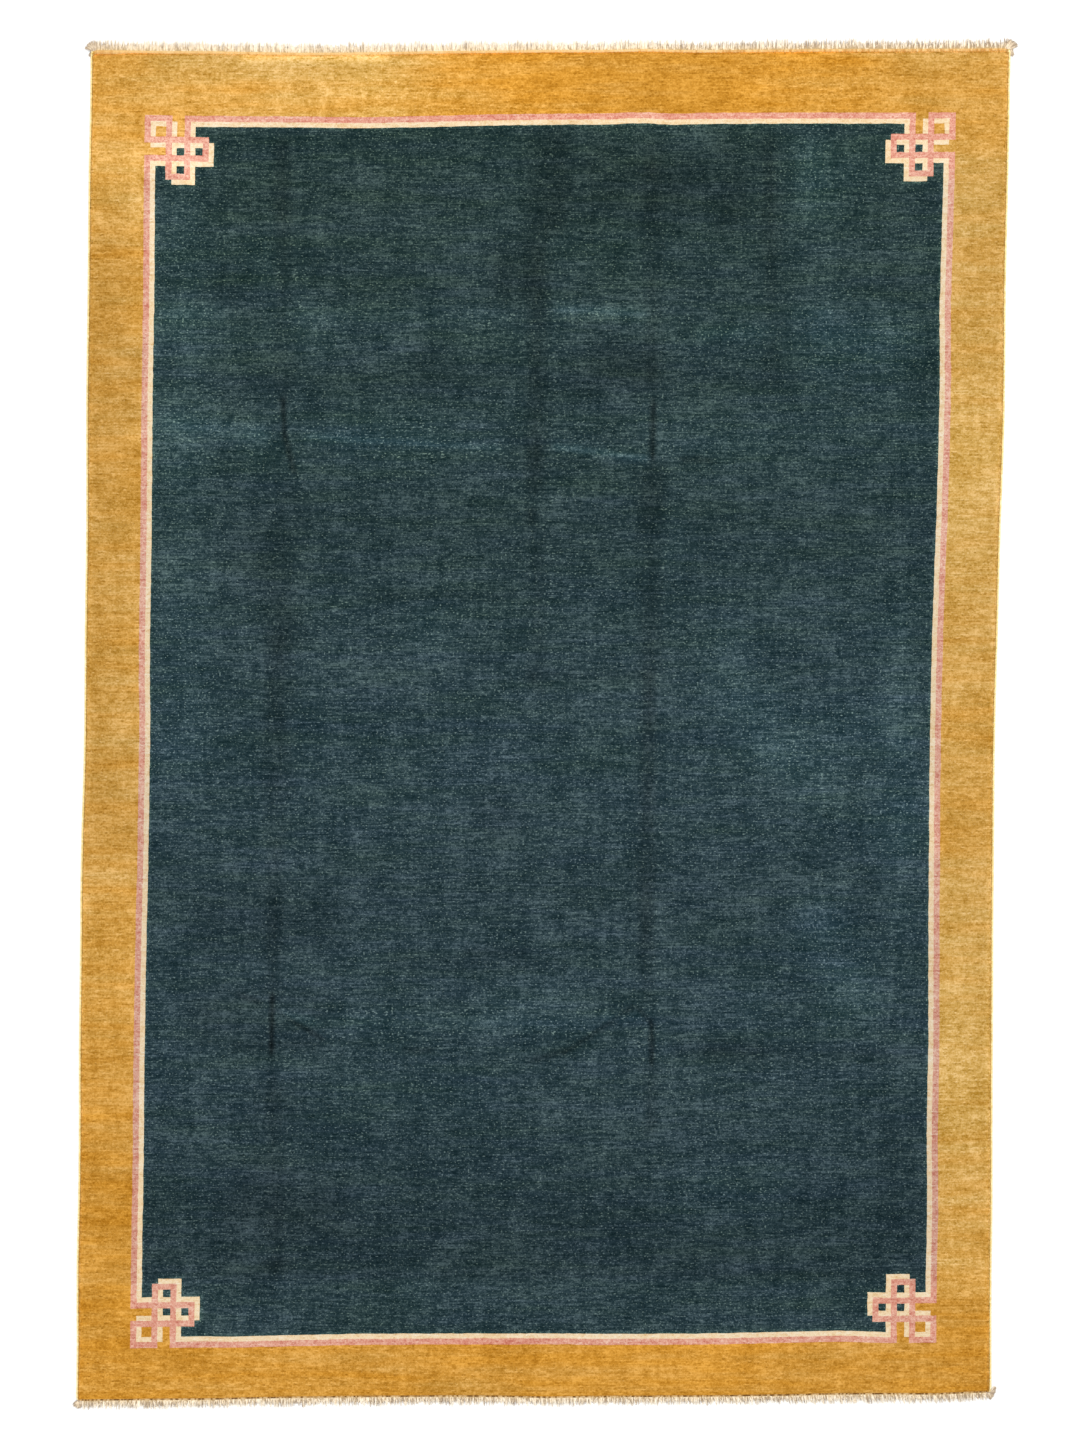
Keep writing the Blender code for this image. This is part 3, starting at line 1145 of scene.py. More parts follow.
def slab(
    shell: Shell,
    chosen: Array,
    top: Array,
    base: Array,
    tones: Array,
    tints: Array,
    slots: Array | None = None,
) -> None:
    """Close the chosen cells of a grid into one body with a face, an underside and walls.

    Args:
        shell: where the body goes.
        chosen: which cells belong to it, (columns, rows).
        top: points of its face, (columns + 1, rows + 1, 3).
        base: points of its underside, shaped as top.
        tones: tone of each grid point.
        tints: tint of each grid point.
        slots: material slot of each cell, or None for slot 0 all over.
    """
    columns, rows = top.shape[:2]
    number = np.arange(columns * rows).reshape(columns, rows)
    cells = np.argwhere(chosen)
    i, j = cells[:, 0], cells[:, 1]
    ring = [(i, j), (i + 1, j), (i + 1, j + 1), (i, j + 1)]
    face_up = np.stack([number[a, b] for a, b in ring], 1)
    used = np.unique(face_up)
    renumber = np.full(columns * rows, -1)
    renumber[used] = np.arange(len(used))
    flat_top = top.reshape(-1, 3)[used]
    low, span = flat_top.min(0)[:2], np.ptp(flat_top, axis=0)[:2]
    values = (tones.ravel()[used], tints.ravel()[used])
    first = shell.add_points(flat_top, *values)
    shell.add_points(base.reshape(-1, 3)[used], *values)
    under = first + len(used)
    face = renumber[face_up]
    place = (flat_top[:, :2] - low) / span
    margin = 0.002
    long_share = 1.0 - 2.0 * margin
    face_share = 0.93
    back_share = 0.03
    wall_share = 0.016
    wall_start = 0.98
    on_face = place * (face_share, long_share) + (margin, margin)
    on_back = place * (back_share, long_share) + (face_share + 0.01, margin)
    kinds = np.zeros(len(face), int) if slots is None else slots[i, j]
    for kind in np.unique(kinds):
        worn = face[kinds == kind]
        shell.add_faces(worn + first, on_face[worn], int(kind))
        shell.add_faces(worn[:, ::-1] + under, on_back[worn[:, ::-1]], int(kind))
    padded = np.pad(chosen, 1)
    for side, (di, dj) in enumerate(((0, -1), (1, 0), (0, 1), (-1, 0))):
        open_side = ~padded[i + 1 + di, j + 1 + dj]
        a = face[open_side, side]
        b = face[open_side, (side + 1) % 4]
        wall = np.stack([b + first, a + first, a + under, b + under], 1)
        along = np.stack([place[b], place[a], place[a], place[b]], 1).max(2)
        across = np.array([0.0, 0.0, 1.0, 1.0]) * wall_share + wall_start
        spots = np.stack([np.broadcast_to(across, along.shape), margin + long_share * along], 2)
        for kind in np.unique(kinds[open_side]):
            same = kinds[open_side] == kind
            shell.add_faces(wall[same], spots[same], int(kind))


def bar(
    shell: Shell, points: Array, tones: Array, runs: int, corners: tuple[tuple[int, int], ...]
) -> Array:
    """Add a long bar, open at its two ends.

    Args:
        shell: where it goes.
        points: rings of points along the bar, (rings, sides, 3).
        tones: tone of each point, (rings, sides).
        runs: how many runs, side by side, the bar is folded into on its map.
        corners: steps along and round the bar to each corner of a wall face.

    Returns:
        Index of each point, (rings, sides).
    """
    rings, sides = points.shape[:2]
    first = shell.add_points(points, tones)
    number = first + np.arange(rings * sides).reshape(rings, sides)
    per_run = math.ceil((rings - 1) / runs)
    run, r = np.divmod(np.arange(rings - 1), per_run)
    k = np.arange(sides)
    side_margin = 0.05
    side_share = 0.9
    long_margin = 0.002
    long_share = 1.0 - 2.0 * long_margin
    walls = [np.roll(number, -turn, 1)[step:step + rings - 1] for step, turn in corners]
    u = np.stack([k + turn for _, turn in corners], -1)[None] / sides * side_share + side_margin
    v = np.stack([r + step for step, _ in corners], -1)[:, None] / per_run * long_share
    u, v = (u + run[:, None, None]) / runs, v + long_margin
    u, v = np.broadcast_arrays(u, v)
    shell.add_faces(np.stack(walls, -1).reshape(-1, 4), np.stack([u, v], -1).reshape(-1, 4, 2))
    return number


def strands(
    shell: Shell, paths: Array, radii: Array, tones: Array, tints: Array, sides: int
) -> None:
    """Add closed strands of yarn.

    Args:
        shell: where they go.
        paths: middle line of each strand, (strands, rings, 3).
        radii: radius at each ring, (strands, rings).
        tones: tone at each ring, (strands, rings).
        tints: tint at each ring, (strands, rings).
        sides: faces round a strand.
    """
    above_floor = 0.05 * MM
    count, rings = paths.shape[:2]
    run = np.gradient(paths, axis=1)
    run /= np.linalg.norm(run, axis=2, keepdims=True)
    level = np.stack([run[..., 1], -run[..., 0], np.zeros(run.shape[:2])], 2)
    level /= np.maximum(np.linalg.norm(level, axis=2, keepdims=True), 1e-9)
    upright = np.cross(level, run)
    turn = math.tau * (np.arange(sides) + 0.5) / sides
    ring = (np.cos(turn)[:, None] * level[:, :, None]
            + np.sin(turn)[:, None] * upright[:, :, None])
    points = paths[:, :, None] + radii[:, :, None, None] * ring
    points[..., 2] = np.maximum(points[..., 2], above_floor)
    first = shell.add_points(
        points, *(np.repeat(part[:, :, None], sides, 2) for part in (tones, tints)))
    number = first + np.arange(count * rings * sides).reshape(count, rings, sides)
    near, far = number[:, :-1], number[:, 1:]
    walls = np.stack([near, far, np.roll(far, -1, 2), np.roll(near, -1, 2)], -1)
    across = math.ceil(math.sqrt(count))
    slot_u, slot_v = np.divmod(np.arange(count), across)
    margin = 0.07
    share = 1.0 - 2.0 * margin
    k = np.arange(sides)
    r = np.arange(rings - 1)
    u = np.stack([k, k, k + 1, k + 1], -1)[None] / sides * share
    v = np.stack([r, r + 1, r + 1, r], -1)[:, None] / (rings - 1) * share
    u, v = np.broadcast_arrays(u, v)
    corner = np.stack([slot_u, slot_v], 1)[:, None, None, None]
    places = np.stack([u, v], -1)[None] + corner + margin
    shell.add_faces(walls.reshape(-1, 4), places.reshape(-1, 4, 2) / across)
    cap_radius = 0.03
    for end, order, spot in ((0, slice(None), 0.08), (-1, slice(None, None, -1), 0.92)):
        middle = np.stack([slot_u + 0.5, slot_v + spot], 1)[:, None]
        circle = cap_radius * np.stack([np.cos(turn), np.sin(turn)], 1)[order]
        shell.add_faces(number[:, end, order], (middle + circle) / across)


# ---------------------------------------------------------------------------------------
# The cloth
# ---------------------------------------------------------------------------------------


@dataclass
class WovenGround:
    """The ground weave: one whole sheet, with the backs of the knots on its underside."""

    chart: Chart
    fine: float = 20 * MM
    wide: float = 21 * MM

    def build(self, looks: dict[Yarn, bpy.types.Material]) -> bpy.types.Object:
        """Weave the ground.

        Args:
            looks: finish of the knot backs, by yarn.

        Returns:
            The sheet.
        """
        loom = self.chart.loom
        s, t, yarns = self.chart.grid(self.fine, self.wide)
        s, t = np.meshgrid(s, t, indexing="ij")
        base = np.stack([*loom.lay(s, t), loom.lift(s, t)], 2)
        top = base + (0.0, 0.0, loom.ground)
        shell = Shell()
        plain = np.zeros(s.shape)
        slab(shell, np.ones(yarns.shape, bool), top, base, plain, plain, yarns)
        return shell.build("ground_weave", [looks[yarn] for yarn in Yarn], angle=50.0)


@dataclass
class KnottedPile:
    """The pile, one piece for each yarn, cut level and leaning towards the bottom end.

    The rim tuples hold the three outermost weaving lines: their height, how far they are
    drawn in at each edge, and the painted light that makes the long edges lighter, against
    the shade along the cord. The clipping holds the height, breadths and set of each layer of
    lumps, and the jog those of the knots that stand a little beside their lines.
    """

    chart: Chart
    shades: tuple[Shade, ...]
    wools: dict[Yarn, PileWool]
    fine: float = 8.3 * MM
    wide: float = 11.6 * MM
    sunk: float = 0.8 * MM
    rim_heights: tuple[float, float, float] = (5.6 * MM, 8.1 * MM, 9.0 * MM)
    rim_top: tuple[float, float, float] = (5.5 * MM, 5.5 * MM, 4.5 * MM)
    rim_bottom: tuple[float, float, float] = (3.0 * MM, 2.4 * MM, 1.4 * MM)
    rim_side: float = 0.2 * MM
    # Painted light: how much lighter the three outermost columns along the long edges are made.
    rim_painted_light: tuple[float, float, float] = (0.60, 0.45, 0.12)
    rim_relief: float = 0.35
    clipping: tuple[tuple[float, tuple[float, float], int], ...] = (
        (0.45 * MM, (0.21, 0.15), Seed.CLIPPING_BROAD),
        (0.30 * MM, (0.052, 0.021), Seed.CLIPPING_MIDDLE),
        (0.28 * MM, (0.017, 0.0115), Seed.CLIPPING_FINE))
    jog: float = 0.75 * MM
    jog_inside: tuple[float, float] = (0.98, 0.985)
    rubbed: float = 0.42
    rubbed_warmth: float = 0.35

    def relief(self, x: Array, y: Array) -> Array:
        """Unevenness of hand-clipped pile."""
        return sum(high * wool_noise(x, y, size, seed) for high, size, seed in self.clipping)

    def tones(self, x: Array, y: Array) -> Array:
        """Tone of the pile: the strokes of painted shade and highlight along its folds and over its
        dye bands, and the painted light on the long edges.

        Args:
            x: places across the rug, (columns, rows).
            y: places along the rug, (columns, rows).

        Returns:
            Tones, shaped as x.
        """
        tones = sum((shade.over(x, y) for shade in self.shades), np.zeros(np.shape(x)))
        # Painted light on the long edges, lifting the shade beside the cord.
        for column, painted_light in enumerate(self.rim_painted_light):
            tones[column] += painted_light
            tones[-1 - column] += painted_light
        return tones

    def beside(self, chosen: Array) -> Array:
        """Where the knots of one yarn stand beside another yarn.

        Args:
            chosen: which cells are of this yarn, (columns, rows).

        Returns:
            1 at the grid points on its border and 0 elsewhere, (columns + 1, rows + 1).
        """
        cells = np.pad(chosen, 1, mode="edge").astype(int)
        around = cells[1:, 1:] + cells[:-1, 1:] + cells[1:, :-1] + cells[:-1, :-1]
        return ((around > 0) & (around < 4)) * 1.0

    def surface(self, s: Array, t: Array) -> tuple[Array, Array]:
        """Face and foot of the pile on the weaving lines.

        Args:
            s: loom fractions of the columns.
            t: loom fractions of the rows.

        Returns:
            Points of the face and points of the foot, (columns, rows, 3).
        """
        loom = self.chart.loom
        grid_s, grid_t = np.meshgrid(s, t, indexing="ij")
        x, y = loom.lay(grid_s, grid_t)
        inner_s, inner_t = self.jog_inside
        inner = (np.abs(grid_s) < inner_s) & (np.abs(grid_t) < inner_t)
        x = x + inner * self.jog * wool_noise(x, y, (0.012, 0.010), Seed.JOG_ACROSS)
        y = y + inner * self.jog * wool_noise(x, y, (0.010, 0.012), Seed.JOG_ALONG)
        under = loom.lift(grid_s, grid_t)
        rise = np.full(x.shape, loom.cloth)
        for k, height in enumerate(self.rim_heights):
            for column in (k, -1 - k):
                rise[column, :] = np.minimum(rise[column, :], height)
            for row in (k, -1 - k):
                rise[:, row] = np.minimum(rise[:, row], height)
        x[0] += self.rim_side
        x[-1] -= self.rim_side
        worn = loom.worn(grid_s[:, 0])
        for k, (top, bottom) in enumerate(zip(self.rim_top, self.rim_bottom)):
            y[:, -1 - k] -= top + worn
            y[:, k] += bottom
        foot = np.stack([x, y, under + loom.ground - self.sunk], 2)
        lowest = self.rim_heights[0]
        level = np.clip((rise - lowest) / (loom.cloth - lowest), 0, 1)
        z = under + rise + self.relief(x, y) * (self.rim_relief + (1.0 - self.rim_relief) * level)
        return np.stack([x, y, z], 2), foot

    def build(self, looks: dict[Yarn, bpy.types.Material]) -> list[bpy.types.Object]:
        """Knot the pile.

        Args:
            looks: finish of each yarn.

        Returns:
            The four pieces, in the order of the yarns.
        """
        s, t, yarns = self.chart.grid(self.fine, self.wide)
        face, foot = self.surface(s, t)
        tones = self.tones(face[..., 0], face[..., 1])
        names = {
            Yarn.GOLD: "border_pile",
            Yarn.TEAL: "field_pile",
            Yarn.ROSE: "rose_guard_pile",
            Yarn.CREAM: "cream_guard_pile",
        }
        made = []
        for yarn, name in names.items():
            shell = Shell()
            wool = dyed(self.wools[yarn].runs, tones, face[..., 0], face[..., 1])
            if yarn is Yarn.TEAL:
                mixed = self.beside(yarns == yarn)
                wool = (wool[0] + self.rubbed * mixed, wool[1] - self.rubbed_warmth * mixed)
            slab(shell, yarns == yarn, face, foot, *wool)
            made.append(shell.build(name, [looks[yarn]], angle=48.0))
        return made


@dataclass
class RimTufts:
    """Ends of pile yarn that stand out along the four edges of the pile.

    Each layer is a height and how far inside the edge its roots stand. The insets, aims and
    tones are those of the top end, the bottom end and the long edges; the tones are painted
    light that lifts the tufts out of the shade of their steep sides. A long edge's aim is for
    the right one, and its layers lean out less the further in they stand.
    """

    loom: Loom
    wool: PileWool
    pitch: float = 2.5 * MM
    length: float = 3.6 * MM
    radius: float = 0.9 * MM
    span: float = 0.9985
    layers: tuple[tuple[float, float], ...] = (
        (4.6 * MM, 1.0 * MM), (6.6 * MM, 1.5 * MM), (8.0 * MM, 3.0 * MM))
    upright_by: float = 3.0 * MM
    top_inset: float = 5.1 * MM
    bottom_inset: float = 5.4 * MM
    top_aim: tuple[float, float, float] = (0.0, 0.10, 0.75)
    bottom_aim: tuple[float, float, float] = (0.0, -0.95, -0.12)
    side_aim: tuple[float, float, float] = (1.05, -0.50, 0.35)
    scatter: tuple[float, float, float] = (0.20, 0.18, 0.12)
    # Painted light: the tufts of each edge are made lighter, to lift them out of their own shade.
    top_painted_light: float = 0.70
    bottom_painted_light: float = 0.22
    side_painted_light: float = 0.16
    tone_spread: float = 0.08
    side_coolness: float = 0.40
    length_range: tuple[float, float] = (0.75, 1.15)
    radius_range: tuple[float, float] = (0.8, 1.2)
    steps: tuple[float, float, float] = (0.0, 0.55, 1.0)
    taper: tuple[float, float, float] = (1.0, 0.95, 0.45)
    tip_drop: float = 0.5 * MM

    def edge(self, along: bool, side: float, rng: np.random.Generator) -> tuple[Array, ...]:
        """Roots and directions of the tufts along one edge.

        Args:
            along: whether it is a long edge, and not an end of the rug.
            side: -1 or 1, which of the two.
            rng: source of the small differences.

        Returns:
            Root points, directions, tones and tints.
        """
        size = 2.0 * self.loom.half_length if along else self.loom.width_middle
        count = int(size / self.pitch)
        found = []
        for height, inset in self.layers:
            place = np.linspace(-self.span, self.span, count)
            place = place + rng.uniform(-0.3, 0.3, count) / count
            x, y = self.loom.lay(side if along else place, place if along else side)
            jump = rng.normal(0.0, 1.0, (count, 3)) * self.scatter
            if along:
                x = x - side * inset
                out, back, up = self.side_aim
                aim = np.array([(out - inset / self.upright_by) * side, back, up])
                painted_light = self.side_painted_light
            elif side > 0:
                y = y - inset - self.top_inset - self.loom.worn(place)
                aim = np.array(self.top_aim)
                painted_light = self.top_painted_light
            else:
                y = y + inset + self.bottom_inset
                aim = np.array(self.bottom_aim)
                painted_light = self.bottom_painted_light
            rise = height + rng.uniform(-0.5, 0.5, count) * MM
            # Painted light of the edge, with a random spread from tuft to tuft.
            tone = rng.normal(painted_light, self.tone_spread, count)
            cooler = np.full(count, self.side_coolness if along else 0.0)
            found.append((np.stack([x, y, rise], 1), aim + jump, tone, cooler))
        return tuple(np.concatenate(part) for part in zip(*found))

    def build(self, look: bpy.types.Material) -> bpy.types.Object:
        """Set the tufts.

        Args:
            look: finish of the border yarn.

        Returns:
            The tufts as one piece.
        """
        rng = np.random.default_rng(Seed.TUFTS)
        found = [self.edge(along, side, rng) for along in (False, True) for side in (-1.0, 1.0)]
        roots, aims, tones, cooler = (np.concatenate(part) for part in zip(*found))
        aims /= np.linalg.norm(aims, axis=1, keepdims=True)
        count = len(roots)
        length = self.length * rng.uniform(*self.length_range, count)
        reach = length[:, None] * np.array(self.steps)
        paths = roots[:, None] + aims[:, None] * reach[..., None]
        paths[:, -1, 2] -= self.tip_drop
        radii = self.radius * rng.uniform(*self.radius_range, (count, 1)) * np.array(self.taper)
        tones = np.repeat(tones[:, None], len(self.steps), 1)
        tones, tints = dyed(self.wool.runs, tones, paths[..., 0], paths[..., 1])
        shell = Shell()
        strands(shell, paths, radii, tones, tints + cooler[:, None], 3)
        return shell.build("rim_tufts", [look], angle=60.0)


@dataclass
class OvercastEdge:
    """Cord along a long edge: edge warps wound round and round with gold yarn.

    One wrap's three rings take their radius from the wrap shares. Its inner half is drawn
    into the cloth by the bite, and its rings slant over the cord.
    """

    loom: Loom
    side: int
    wraps: int = 940
    wrap: tuple[float, float, float] = (0.80, 0.985, 1.0)
    sides: int = 10
    slant: float = 0.9 * MM
    swell: float = 0.05
    swell_lumps: tuple[float, float] = (0.05, 0.019)
    wrap_range: tuple[float, float] = (0.95, 1.02)
    thickest: float = 1.04
    bite: float = 1.28
    bite_from: float = 0.1
    tone: float = 0.56
    tone_spread: float = 0.10
    # Painted shade in the grooves between wraps and on the cord's side toward the pile.
    groove_painted_shade: float = 0.12
    inner_painted_shade: float = 0.20
    map_runs: int = 26

    def build(self, look: bpy.types.Material) -> bpy.types.Object:
        """Wind the cord.

        Args:
            look: finish of the overcast yarn.

        Returns:
            The cord.
        """
        name = "overcast_left" if self.side < 0 else "overcast_right"
        rng = np.random.default_rng(Seed.CORD + self.side)
        per_wrap = len(self.wrap)
        profile = np.tile(self.wrap, self.wraps)
        rings = len(profile)
        x, y = self.loom.lay(np.full(rings, float(self.side)), np.linspace(-1.0, 1.0, rings))
        radius = self.loom.cord_radius
        x = x + self.side * (self.loom.gap + radius)
        swell = wool_noise(x, y, self.swell_lumps, Seed.CORD_SWELL + self.side)
        thickness = 1.0 + self.swell * swell
        drawn = np.repeat(rng.uniform(*self.wrap_range, self.wraps), per_wrap)
        thickness = np.minimum(thickness * drawn, self.thickest)
        turn = math.tau * np.arange(self.sides) / self.sides
        inward = -self.side * np.cos(turn)
        reach = radius * (profile * thickness)[:, None]
        across = reach * np.cos(turn) * np.where(inward > self.bite_from, self.bite, 1.0)
        slant = self.side * self.slant * np.cos(turn)[None] * np.ones((rings, 1))
        slant[:per_wrap] = 0.0
        slant[-per_wrap:] = 0.0
        height = np.maximum(radius + reach * np.sin(turn), 0.0)
        points = np.stack([x[:, None] + across, y[:, None] + slant, height], 2)
        tone = np.repeat(rng.normal(self.tone, self.tone_spread, self.wraps), per_wrap)
        # Painted shade: the first ring of each wrap, in the groove, and the side toward the pile are
        # made darker.
        tone[::per_wrap] -= self.groove_painted_shade
        tones = tone[:, None] - self.inner_painted_shade * inward
        shell = Shell()
        number = bar(shell, points, tones, self.map_runs, ((0, 0), (0, 1), (1, 1), (1, 0)))
        cap_place = 0.01
        cap_radius = 0.008
        circle = cap_place + cap_radius * np.stack([np.cos(turn), np.sin(turn)], 1)
        shell.add_faces(number[:1, ::-1], circle[None])
        shell.add_faces(number[-1:], circle[None])
        return shell.build(name, [look], angle=70.0)


@dataclass(frozen=True)
class Tail:
    """Splayed tail of the edge warps at a corner.

    Its strands fan out from the first to the last heading, in degrees: 90 is straight out
    of the end, 0 straight out of the side. Their roots reach from inside the rug's corner,
    by inner, to outside it, by outer.
    """

    side: int
    length: float
    first: float
    last: float
    inner: float
    outer: float
    strands: int


@dataclass(frozen=True)
class EndPlan:
    """What one end has of its own.

    The lap is how far the strip reaches over the ground, in millimetres. Each table starts
    its rows with a place s across the end. The leans are of the fringe, in millimetres, and
    the unevenness is of its tones. A row of the shades goes on with the tone of the roots,
    how stained they are, and the tone of the whole. The roots' tone is painted shadow between
    the locks where it is below 0, and painted light that lifts their shade where it is above 0.
    """

    end: End
    length: float
    lap: float
    patchy: float
    leans: tuple[tuple[float, float], ...]
    unevenness: tuple[tuple[float, float], ...]
    shades: tuple[tuple[float, float, float, float], ...]
    tails: tuple[Tail, ...]


@dataclass
class EndFinish:
    """One woven end: the flat-woven strip, its fringe and the tails at its two corners.

    A strand has five rings, and the tuples of five are for its rings from root to tip. All
    radii and heights are in millimetres. A root or tip height is the lowest, and then how
    much more the top layer has, as tail_layers is over tail_heights. Contrasts are the
    spreads of tone from strand to strand, from ring to ring and from root to root.
    """

    loom: Loom
    plan: EndPlan
    strip_stations: int = 620
    strip_map_runs: int = 12
    ribbing: float = 0.10
    locks: int = 800
    per_lock: int = 4
    lean_spread: float = 0.7 * MM
    lean_lumps: tuple[float, float] = (0.035, 1.0)
    length_spread: float = 0.07
    length_lumps: tuple[float, float] = (0.06, 1.0)
    shortest: float = 0.60
    longer: float = 0.74
    gather: float = 1.2 * MM
    splay: float = 0.15
    bend: float = 1.4
    wave: float = 0.5 * MM
    root_gap: float = 0.4 * MM
    root_height: tuple[float, float] = (2.9, 0.4)
    tip_height: tuple[float, float] = (0.5, 1.3)
    radii: tuple[float, ...] = (0.80, 0.77, 0.68, 0.50, 0.16)
    ring_tones: tuple[float, ...] = (0.0, -0.12, 0.01, 0.11, 0.17)
    ring_stains: tuple[float, ...] = (1.0, 0.34, 0.10, 0.0, 0.0)
    radius_range: tuple[float, float] = (0.85, 1.15)
    tone: float = 0.60
    uneven_tone: float = 0.20
    # Painted shade: how much darker the fringe strands lying lowest, under the others, are.
    lower_painted_shade: float = 0.10
    strand_contrast: float = 0.8
    ring_contrast: float = 0.55
    root_contrast: float = 1.1
    tail_heights: tuple[float, ...] = (2.2, 2.0, 1.6, 1.2, 0.7)
    tail_layers: tuple[float, ...] = (0.6, 1.4, 1.5, 1.2, 0.5)
    tail_radii: tuple[float, ...] = (0.75, 0.78, 0.72, 0.62, 0.25)
    tail_tone: float = 0.27
    tail_tone_spread: float = 0.18
    # Painted shade: how much darker the tail strands lying lowest are.
    tail_lower_painted_shade: float = 0.12
    tail_scatter: float = 8.0
    tail_range: tuple[float, float] = (0.55, 1.05)
    tail_side_short: float = 0.25

    @property
    def word(self) -> str:
        """Name of the end."""
        return self.plan.end.name.lower()

    def shade(self, s: Array, column: int) -> Array:
        """One column of the plan's shades at s: 1 root tone (painted shadow below 0, painted light
        above 0), 2 stain at the root, 3 tone.
        """
        rows = self.plan.shades
        return np.interp(s, [row[0] for row in rows], [row[column] for row in rows])

    def section(self) -> Array:
        """Outline of the strip across its run.

        Returns:
            Points, (corners, 2): how far out of the end, and how far up.
        """
        lap = self.plan.lap
        return np.array([
            (0.0, 0.0), (0.0, 3.3), (-lap, 3.3), (-lap, 4.0), (-0.5 * lap, 4.2), (0.1, 3.9),
            (1.1, 2.9), (1.9, 2.6), (2.7, 2.2), (3.4, 2.3), (3.8, 1.7), (3.8, 0.0),
        ]) * MM

    def strip(self, look: bpy.types.Material) -> bpy.types.Object:
        """Weave the end strip.

        Args:
            look: finish of the strip.

        Returns:
            The strip.
        """
        end = self.plan.end
        section = self.section()
        corners = len(section)
        s = np.linspace(-1.0, 1.0, self.strip_stations)
        x, y = self.loom.lay(s, np.full(s.shape, float(end)))
        rib = 1.0 + self.ribbing * np.where(np.arange(len(s)) % 2 == 0, 1.0, -1.0)[:, None]
        up = section[:, 1] * np.where(section[:, 0] > 1.0 * MM, rib, 1.0)
        out = y[:, None] + end * (self.loom.gap + section[:, 0])
        points = np.stack([np.repeat(x[:, None], corners, 1), out, np.maximum(up, 0.0)], 2)
        rng = np.random.default_rng(Seed.STRIP + end)
        uneven = self.plan.patchy * np.interp(s, *zip(*self.plan.unevenness))
        tone = 0.5 + self.shade(s, 3) + uneven * rng.normal(0.0, 1.0, len(s))
        steps = ((0, 0), (1, 0), (1, 1), (0, 1)) if end > 0 else ((0, 1), (1, 1), (1, 0), (0, 0))
        shell = Shell()
        tones = np.repeat(tone[:, None], corners, 1)
        number = bar(shell, points, tones, self.strip_map_runs, steps)
        cap_place = 0.985
        cap_scale = 0.5     # on the map, for a section in metres
        for cap in (number[:1], number[-1:, ::-1]):
            shell.add_faces(cap if end > 0 else cap[:, ::-1],
                            np.full((1, corners, 2), cap_place) + section * cap_scale)
        return shell.build(f"end_strip_{self.word}", [look], angle=60.0)

    def lock_paths(self, rng: np.random.Generator) -> tuple[Array, ...]:
        """Lay the strands of the fringe's locks.

        Args:
            rng: source of the small differences.

        Returns:
            Middle lines, radii, tones and stains of the strands.
        """
        loom, plan = self.loom, self.plan
        roots = np.linspace(-loom.corner_s, loom.corner_s, self.locks)
        roots += rng.uniform(-0.25, 0.25, self.locks) / self.locks
        lean = np.interp(roots, *zip(*plan.leans)) * MM
        level = roots * 0.0
        lean = lean + self.lean_spread * wool_noise(
            roots, level, self.lean_lumps, Seed.FRINGE_LEAN + plan.end)
        lean = lean + rng.normal(0.0, self.lean_spread, self.locks)
        spread = wool_noise(roots, level, self.length_lumps, Seed.FRINGE_LENGTH)
        long = plan.length * (1.0 + self.length_spread * spread)
        shape = (self.locks, self.per_lock)
        offset = np.linspace(-1.0, 1.0, self.per_lock) + rng.normal(0.0, 0.15, shape)
        long = long[:, None] * (self.shortest + self.longer * rng.uniform(0.0, 1.0, shape) ** 2.0)
        x, y = loom.lay(roots, np.full(roots.shape, float(plan.end)))
        start = loom.gap + self.root_gap
        share = np.linspace(0.0, 1.0, len(self.radii))
        wave = self.wave * np.sin(rng.uniform(0.0, math.tau, (*shape, 1)) + 4.0 * share)
        gather = self.gather * offset[..., None] * (1.0 + self.splay * share)
        px = x[:, None, None] + gather + lean[:, None, None] * share**self.bend + wave * share
        py = y[:, None, None] + plan.end * (start + long[..., None] * share)
        layer = rng.uniform(0.0, 1.0, (*shape, 1))
        root, tip = (low + more * layer for low, more in (self.root_height, self.tip_height))
        pz = root * MM * (1.0 - share) + tip * MM * share
        paths = np.stack([px, py, pz], -1).reshape(-1, len(share), 3)
        radii = np.array(self.radii) * MM * rng.uniform(*self.radius_range, (*shape, 1))
        uneven = np.interp(roots, *zip(*plan.unevenness))[:, None, None]
        tone = rng.normal(0.0, self.strand_contrast, (*shape, 1))
        tone = tone + rng.normal(0.0, self.ring_contrast, (self.locks, 1, len(share)))
        knotted = uneven[:, 0, 0] * rng.normal(0.0, self.root_contrast, self.locks)
        tone = self.tone - self.uneven_tone * uneven + uneven * tone
        # Painted shade on the lower strands.
        tone = tone - self.lower_painted_shade * (1.0 - layer)
        tones = tone + self.shade(roots, 3)[:, None, None] + np.array(self.ring_tones)
        # Painted shadow or painted light at the roots, by the sign of the root tone, with a random
        # spread from lock to lock.
        tones[:, :, 0] += (self.shade(roots, 1) + knotted)[:, None]
        stain = self.shade(roots, 2)[:, None, None] + np.zeros((*shape, 1))
        tints = stain * np.array(self.ring_stains)
        return paths, *(part.reshape(-1, len(share)) for part in (radii, tones, tints))

